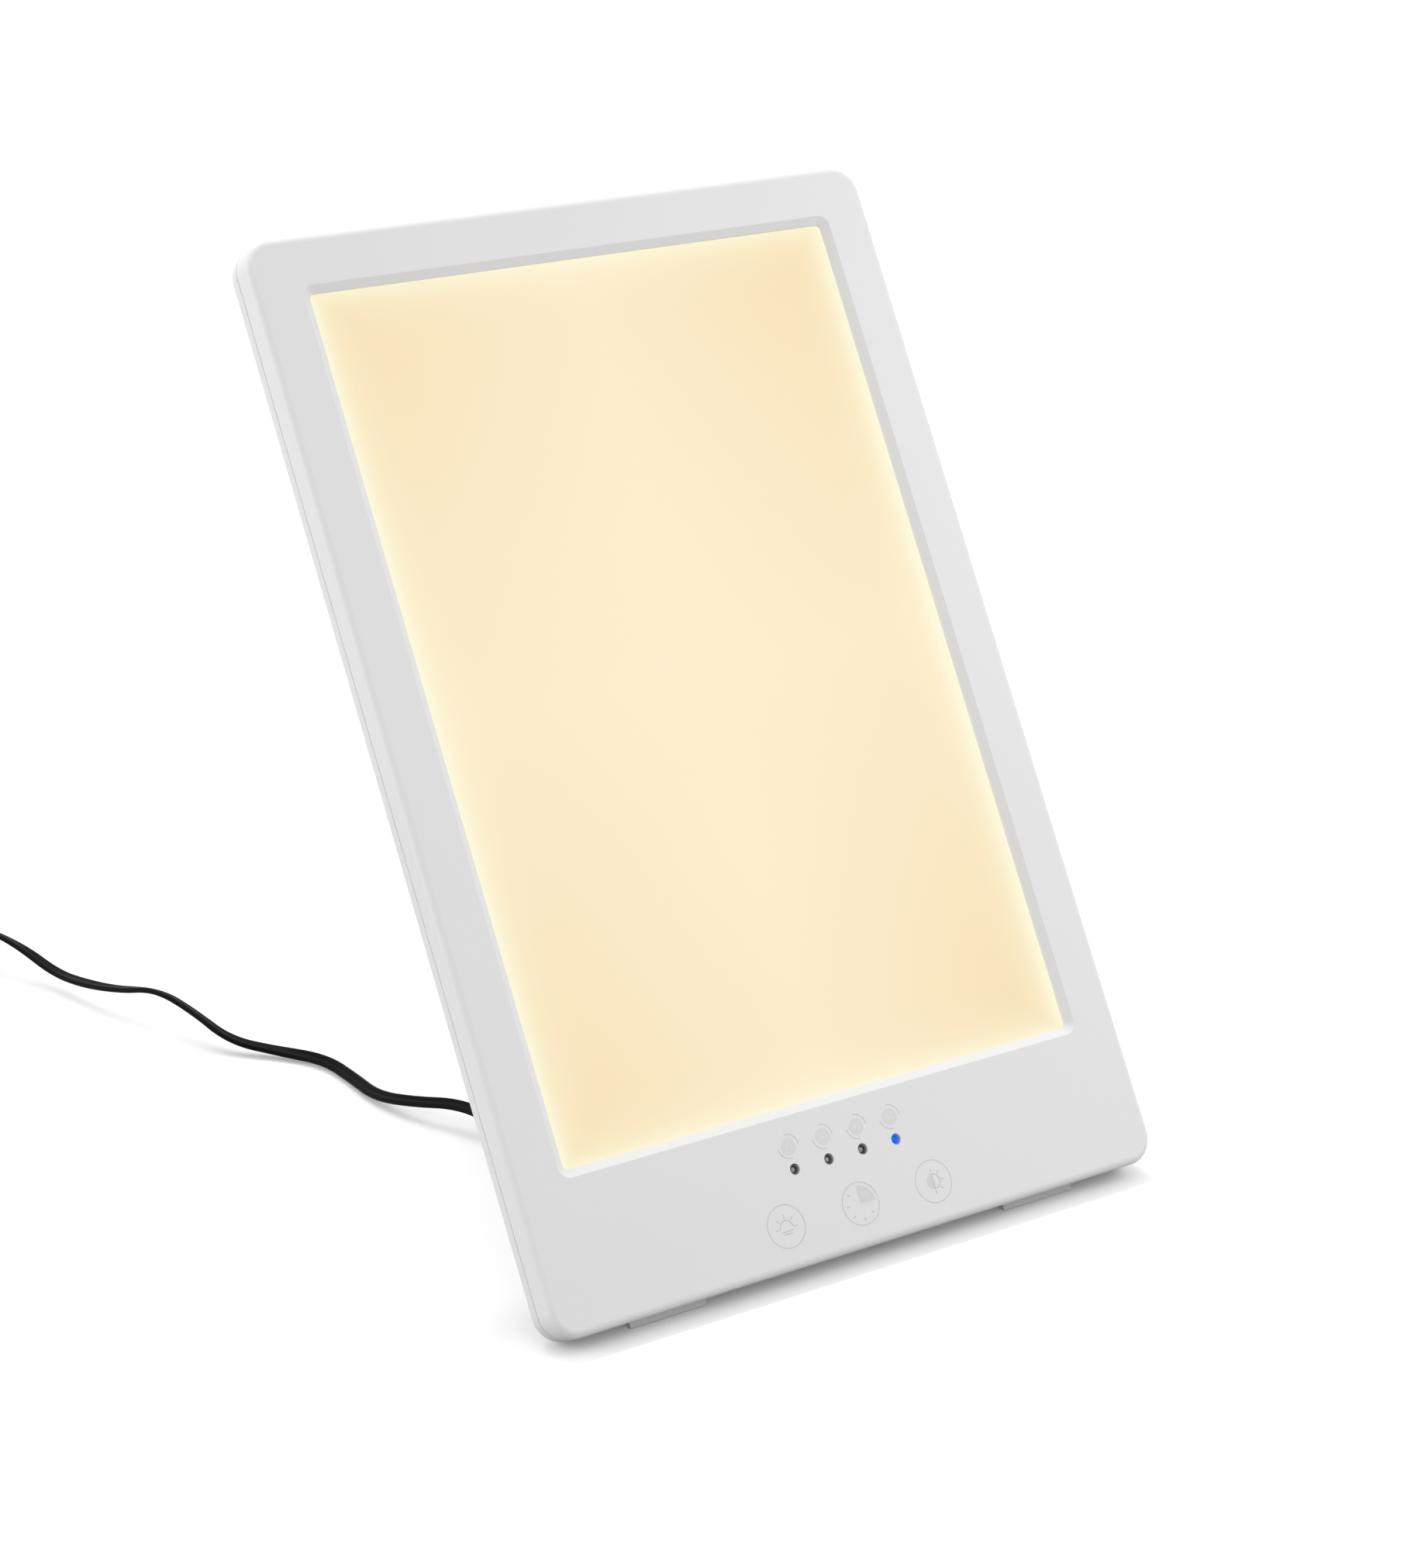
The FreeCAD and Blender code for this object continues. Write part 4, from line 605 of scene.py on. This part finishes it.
def srgb(red, green, blue):
    """A colour as it looks on screen, from 0 to 255, as the shader's own values."""
    parts = []
    for part in (red, green, blue):
        part = part / 255
        parts.append(part / 12.92 if part <= 0.04045 else ((part + 0.055) / 1.055) ** 2.4)
    return (*parts, 1)


def paint(finish, *names):
    """Gives CAD nodes or new pieces a finish."""
    for name in names:
        piece = nodes.get(name) or bpy.data.objects[name]
        piece.data.materials.clear()
        piece.data.materials.append(finish.material)
    print(finish.material.name, "on", ", ".join(names))


def times(colour, factor):
    """A colour made darker or lighter."""
    return tuple(part * factor for part in colour[:3]) + (1,)


# %% [markdown]
# ## Housing plastic
# The two shells and the stand are moulded in a white plastic with a silky, very fine
# grain. Its colour wanders by a hair, and its gloss a little more, which keeps the large
# plain face from looking like paper.


# %% Housing plastic
CLOUD_SIZE = 60 * MM
GRAIN_SIZE = 0.35 * MM


def moulded_plastic(name, colour, darker, roughness, grain_depth):
    """A white plastic with soft clouds in its colour and gloss, and a fine grain."""
    finish = Finish(name, Specular_IOR_Level=0.42)
    cloud = finish.noise(CLOUD_SIZE, detail=3)
    finish.set("Base Color", finish.blend(cloud, darker, colour))
    fine = finish.noise(GRAIN_SIZE, detail=2, roughness=0.6)
    finish.set("Roughness", roughness + (cloud - 0.5) * 0.08 + (fine - 0.5) * 0.06)
    finish.bump(fine, grain_depth, strength=0.5)
    return finish


face_plastic = moulded_plastic("face_plastic", srgb(231, 231, 232), srgb(228, 228, 229),
                               roughness=0.42, grain_depth=0.02 * MM)
back_plastic = moulded_plastic("back_plastic", srgb(231, 231, 233), srgb(227, 227, 229),
                               roughness=0.5, grain_depth=0.05 * MM)
paint(face_plastic, "front_shell")
paint(back_plastic, "rear_shell", "stand_leg")

# %% [markdown]
# ## The lit window
# Strips of warm lights shine into the edges of a clear guide, so the opal sheet is
# brightest in a narrow band along its edges, dips just inside them and most of all in
# the corners, and lifts again towards the middle. The glow is drawn on the face's page
# from the distance to the nearest edges.

# %% Lit opal sheet
LIT_SIDE = WINDOW_SIDE - BEVEL
LIT_LOW = WINDOW_LOW + BEVEL
LIT_HIGH = WINDOW_HIGH - BEVEL
EDGE_REACH = 4.7 * MM
END_SHARE = 0.7
ROOM_LIGHT = 0.072
SIDE_DIM, END_DIM, CORNER_DIM, RIGHT_DIM = 0.3, 0.2, 0.7, 0.06
PATCH_SIZE, PATCH_SHARE = 70 * MM, 0.15


def glow(red, green, blue):
    """What the sheet gives off to look like this, as it reflects some room light too."""
    return tuple(part - ROOM_LIGHT for part in srgb(red, green, blue)[:3]) + (1,)


lit = Finish("lit_opal", Roughness=0.55, Specular_IOR_Level=0.2, Emission_Strength=1.0)
page_x, page_y = lit.page()
from_side = (LIT_SIDE - abs(page_x)).higher(0)
from_end = (page_y - LIT_LOW).lower(LIT_HIGH - page_y).higher(0)
side_glow = (from_side * (-1 / EDGE_REACH)).exponent()
end_glow = (from_end * (-1 / EDGE_REACH)).exponent() * END_SHARE
edge_glow = side_glow.higher(end_glow)
out_x = page_x / LIT_SIDE
out_y = (page_y - (LIT_LOW + LIT_HIGH) / 2) / ((LIT_HIGH - LIT_LOW) / 2)
dimmer = out_x * out_x * SIDE_DIM + out_y * out_y * END_DIM
dimmer = dimmer + abs(out_x * out_y) * CORNER_DIM + out_x * RIGHT_DIM
patches = lit.noise(PATCH_SIZE, detail=1)
dimmer = (dimmer + (patches - 0.5) * PATCH_SHARE).higher(0).lower(1)
body_colour = lit.blend(dimmer, glow(253, 237, 206), glow(246, 225, 184))
lit.set("Base Color", (0.06, 0.06, 0.055, 1))
lit.set("Emission Color", lit.blend(edge_glow, body_colour, glow(255, 253, 226)))
paint(lit, "diffuser_panel")

# %% [markdown]
# ## Printed ink, holders and lights
# The print is a flat grey, only a little darker than the plastic. The timer lights sit
# behind small dark collars; three are off and show a grey lens, and the last one is lit
# a strong blue. The blue light that falls on the collar round the lit one is painted on
# the collar as a glow.


# %% Ink, holders and lights
def ink(name, colour):
    """A flat print with a trace of speckle."""
    finish = Finish(name, Specular_IOR_Level=0.3)
    speck = finish.noise(0.4 * MM, detail=2)
    finish.set("Base Color", finish.blend(speck, colour, times(colour, 0.97)))
    finish.set("Roughness", 0.5 + (speck - 0.5) * 0.1)
    return finish


paint(ink("disc_ink", srgb(222, 222, 223)), "timer_discs")
paint(ink("fill_ink", srgb(218, 218, 219)), "touch_fills")
paint(ink("line_ink", srgb(198, 198, 198)), "touch_strokes", "timer_arcs")
paint(ink("digit_ink", srgb(230, 230, 231)), "timer_digits", "clock_digits")

holder = Finish("holder_plastic_painted_glow", Specular_IOR_Level=0.4, Emission_Strength=1.0)
holder_speck = holder.noise(0.6 * MM)
holder.set("Base Color", holder.blend(holder_speck, srgb(112, 110, 108), srgb(128, 125, 122)))
holder.set("Roughness", 0.45 + holder_speck * 0.1)
# Painted glow: the collar round the lit timer light gives off blue, which stands in for the LED's
# light falling on it.
page_x, page_y = holder.page()
from_lit = ((page_x - timer_places[-1]).power(2) + (page_y - TIMER_LIGHT_Y).power(2)).power(0.5)
PAINTED_GLOW_FADE = 0.2 * MM
painted_led_glow = ((COLLAR - from_lit) * (1 / PAINTED_GLOW_FADE)).higher(0).lower(1)
holder.set("Emission Color", holder.blend(painted_led_glow, (0, 0, 0, 1), srgb(0, 60, 190)))
paint(holder, "led_holder", "dc_jack", "control_parts")

off_lens = Finish("off_lens", Coat_Weight=0.6, Coat_Roughness=0.1, IOR=1.5)
off_speck = off_lens.noise(0.9 * MM, detail=1)
off_lens.set("Base Color", off_lens.blend(off_speck, srgb(128, 128, 127), srgb(176, 175, 173)))
off_lens.set("Roughness", 0.25 + off_speck * 0.1)
paint(off_lens, "timer_led_15", "timer_led_30", "timer_led_45")

lit_lens = Finish("lit_lens", Specular_IOR_Level=0.15, Emission_Strength=1.0,
                  Base_Color=(0, 0.01, 0.03, 1))
FACET_SIZE, FACET_START, FACET_CONTRAST = 1.1 * MM, 0.48, 6
sparkle = lit_lens.noise(FACET_SIZE, detail=0)
sparkle = ((sparkle - FACET_START) * FACET_CONTRAST).higher(0).lower(1)
lit_lens.set("Emission Color", lit_lens.blend(sparkle, srgb(0, 104, 232), srgb(20, 196, 255)))
lit_lens.set("Roughness", 0.2 + sparkle * 0.05)
paint(lit_lens, "timer_led_60")

# %% [markdown]
# ## Lead, plug and rubber
# The lead's soft black jacket has a dull sheen and fine marks along its length, so its
# pattern follows the lead's own UV map. The grips, reliefs and feet are rubbers and
# plastics of the same family.


# %% Black jacket and rubbers
def jacket(name, colour):
    """Soft black, streaked along the lead."""
    finish = Finish(name, Specular_IOR_Level=0.06)
    along = finish.node("ShaderNodeUVMap", {"uv_map": "along"})
    stretched = finish.node("ShaderNodeMapping", {}, Vector=along, Scale=(60, 6, 1))
    streak = finish.node("ShaderNodeTexNoise", {}, Vector=stretched, Scale=2.0, Detail=3.0)
    finish.set("Base Color", finish.blend(streak, colour, times(colour, 1.5)))
    finish.set("Roughness", 0.42 + (streak - 0.5) * 0.2)
    finish.bump(streak, 0.03 * MM, strength=0.3)
    return finish


def rubber(name, colour, roughness=0.6, size=0.6 * MM):
    """A rubber or moulded plastic with a fine fleck and a fine relief."""
    finish = Finish(name, Specular_IOR_Level=0.35)
    speck = finish.noise(size, detail=3)
    finish.set("Base Color", finish.blend(speck, colour, times(colour, 1.25)))
    finish.set("Roughness", roughness + (speck - 0.5) * 0.12)
    finish.bump(speck, 0.03 * MM, strength=0.4)
    return finish


black_rubber = rubber("relief_rubber", srgb(24, 24, 26), 0.5)
plug_plastic = rubber("plug_plastic", srgb(26, 26, 28), 0.4, 0.4 * MM)
adapter_plastic = rubber("adapter_plastic", srgb(30, 30, 32), 0.55, 0.5 * MM)
foot_rubber = rubber("foot_rubber", srgb(205, 205, 207), 0.7)
paint(jacket("lead_jacket", srgb(6, 6, 8)), "power_lead")
paint(black_rubber, "dc_plug_relief", "adapter_relief", "cord_tie", "stand_washers", "light_seal")
paint(plug_plastic, "dc_plug")
paint(adapter_plastic, "adapter_case", "adapter_cover")
paint(foot_rubber, "rubber_feet", "stand_shoe")

# %% [markdown]
# ## Metal and inner pieces
# Most of these are inside the housing, and show only through the vents, the socket or a
# screw's hole, but each still has the finish that the real piece has.


# %% Metal and inner pieces
def metal(name, colour, roughness, size):
    """A metal whose tone and gloss vary a little."""
    finish = Finish(name, Metallic=1.0)
    speck = finish.noise(size, detail=3)
    finish.set("Base Color", finish.blend(speck, colour, times(colour, 0.85)))
    finish.set("Roughness", roughness + (speck - 0.5) * 0.15)
    return finish


steel = metal("zinc_steel", (0.56, 0.56, 0.58, 1), 0.35, 0.5 * MM)
brass = metal("plated_brass", (0.72, 0.68, 0.58, 1), 0.25, 0.8 * MM)
aluminium = metal("mill_aluminium", (0.8, 0.8, 0.81, 1), 0.4, 2 * MM)
paint(steel, "shell_screws", "board_screws", "stand_pins", "touch_springs")
paint(brass, "dc_plug_barrel", "dc_jack_pin", "adapter_blades")
paint(aluminium, "heat_tray")
paint(rubber("bush_nylon", srgb(225, 225, 218), 0.4), "stand_bushes")
paint(rubber("white_film", srgb(235, 235, 235), 0.3), "reflector_sheet")
paint(rubber("clear_acrylic", srgb(226, 236, 236), 0.15), "light_guide")
paint(rubber("strip_mask", srgb(238, 238, 230), 0.35),
      "led_strip_left", "led_strip_right", "led_strip_top", "led_strip_bottom")
paint(rubber("board_mask", srgb(24, 84, 48), 0.35), "control_board")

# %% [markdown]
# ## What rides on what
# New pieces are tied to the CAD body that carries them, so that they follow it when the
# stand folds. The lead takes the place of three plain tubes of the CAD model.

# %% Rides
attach(power_lead, "panel")
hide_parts("cord_free_run", "cord_coil", "cord_adapter_run")

# %% [markdown]
# ## Floor and light
# The lamp stands on a seamless white sweep under a broad, even sky, so the panel darkens
# only the floor close in front of its lower edge. The floor is far whiter to the camera
# than to the rest of the scene: it reads as pure white and keeps that shadow, and it
# lights the housing only a little from below.

# %% Floor
FLOOR_SIDE = 12
FLOOR_GAP = 0.2 * MM
bpy.ops.object.select_all(action="DESELECT")
bpy.ops.mesh.primitive_plane_add(size=FLOOR_SIDE, location=(0, 0, -FLOOR_GAP))
floor = bpy.context.object
floor.name = "floor"
floor.select_set(False)

WHITE_RAYS = ("Is Camera Ray", "Is Glossy Ray", "Is Transmission Ray")


def seen_white(tree):
    """1 for the kinds of ray that see the background as white, and 0 for the others."""
    rays = tree.nodes.new("ShaderNodeLightPath")
    found = rays.outputs[WHITE_RAYS[0]]
    for kind in WHITE_RAYS[1:]:
        either = tree.nodes.new("ShaderNodeMath")
        either.operation = "MAXIMUM"
        tree.links.new(found, either.inputs[0])
        tree.links.new(rays.outputs[kind], either.inputs[1])
        found = either.outputs[0]
    return found


SWEEP = 0.34
SWEEP_SEEN = 1.06
sweep = bpy.data.materials.new("white_sweep")
sweep.use_nodes = True
tree = sweep.node_tree
tree.nodes.clear()
surface = tree.nodes.new("ShaderNodeOutputMaterial")
matt = tree.nodes.new("ShaderNodeBsdfDiffuse")
matt.inputs["Color"].default_value = (SWEEP, SWEEP, SWEEP, 1)
seen = tree.nodes.new("ShaderNodeBsdfDiffuse")
seen.inputs["Color"].default_value = (SWEEP_SEEN, SWEEP_SEEN, SWEEP_SEEN, 1)
choose = tree.nodes.new("ShaderNodeMixShader")
tree.links.new(seen_white(tree), choose.inputs[0])
tree.links.new(matt.outputs[0], choose.inputs[1])
tree.links.new(seen.outputs[0], choose.inputs[2])
tree.links.new(choose.outputs[0], surface.inputs["Surface"])
floor.data.materials.append(sweep)

# %% World
SKY = 0.86
SKY_SEEN = 1.0
world = bpy.data.worlds.new("studio")
bpy.context.scene.world = world
world.use_nodes = True
tree = world.node_tree
tree.nodes.clear()
surface = tree.nodes.new("ShaderNodeOutputWorld")
choose = tree.nodes.new("ShaderNodeMixShader")
for index, strength in ((1, SKY), (2, SKY_SEEN)):
    sky = tree.nodes.new("ShaderNodeBackground")
    sky.inputs["Color"].default_value = (1, 1, 1, 1)
    sky.inputs["Strength"].default_value = strength
    tree.links.new(sky.outputs[0], choose.inputs[index])
tree.links.new(seen_white(tree), choose.inputs[0])
tree.links.new(choose.outputs[0], surface.inputs["Surface"])


# %% Lamps
def softbox(name, place, aim, wide, tall, watts):
    """A soft lamp, its longer side level."""
    data = bpy.data.lights.new(name, "AREA")
    data.shape = "RECTANGLE"
    data.size = wide
    data.size_y = tall
    data.energy = watts
    lamp = bpy.data.objects.new(name, data)
    bpy.context.scene.collection.objects.link(lamp)
    lamp.location = place
    lamp.rotation_euler = (Vector(place) - Vector(aim)).to_track_quat("Z", "Y").to_euler()
    return lamp


# The strip stands just higher than the panel leans, so that its light passes along the
# face and reaches the floor up to the lower edge
STRIP_RISE = math.radians(63)
STRIP_AWAY = 3.5
panel_top = PANEL @ Vector((0, PANEL_HEIGHT, 0))
strip_place = panel_top + Vector((0, math.cos(STRIP_RISE), math.sin(STRIP_RISE))) * STRIP_AWAY
softbox("strip_behind", strip_place, panel_top, wide=2.4, tall=0.18, watts=36)

# Two small fills, one for the face's right side and one for the housing's left edge
MIDDLE = (0, 0, 0.12)
LEFT_EDGE = (-0.1, 0, 0.12)
softbox("right_fill", (0.72, -0.42, 0.6), MIDDLE, wide=0.5, tall=0.5, watts=2.2)
softbox("left_behind", (-1.25, 0.5, 0.5), LEFT_EDGE, wide=1.0, tall=1.0, watts=6)

bpy.context.scene.view_settings.view_transform = "Standard"
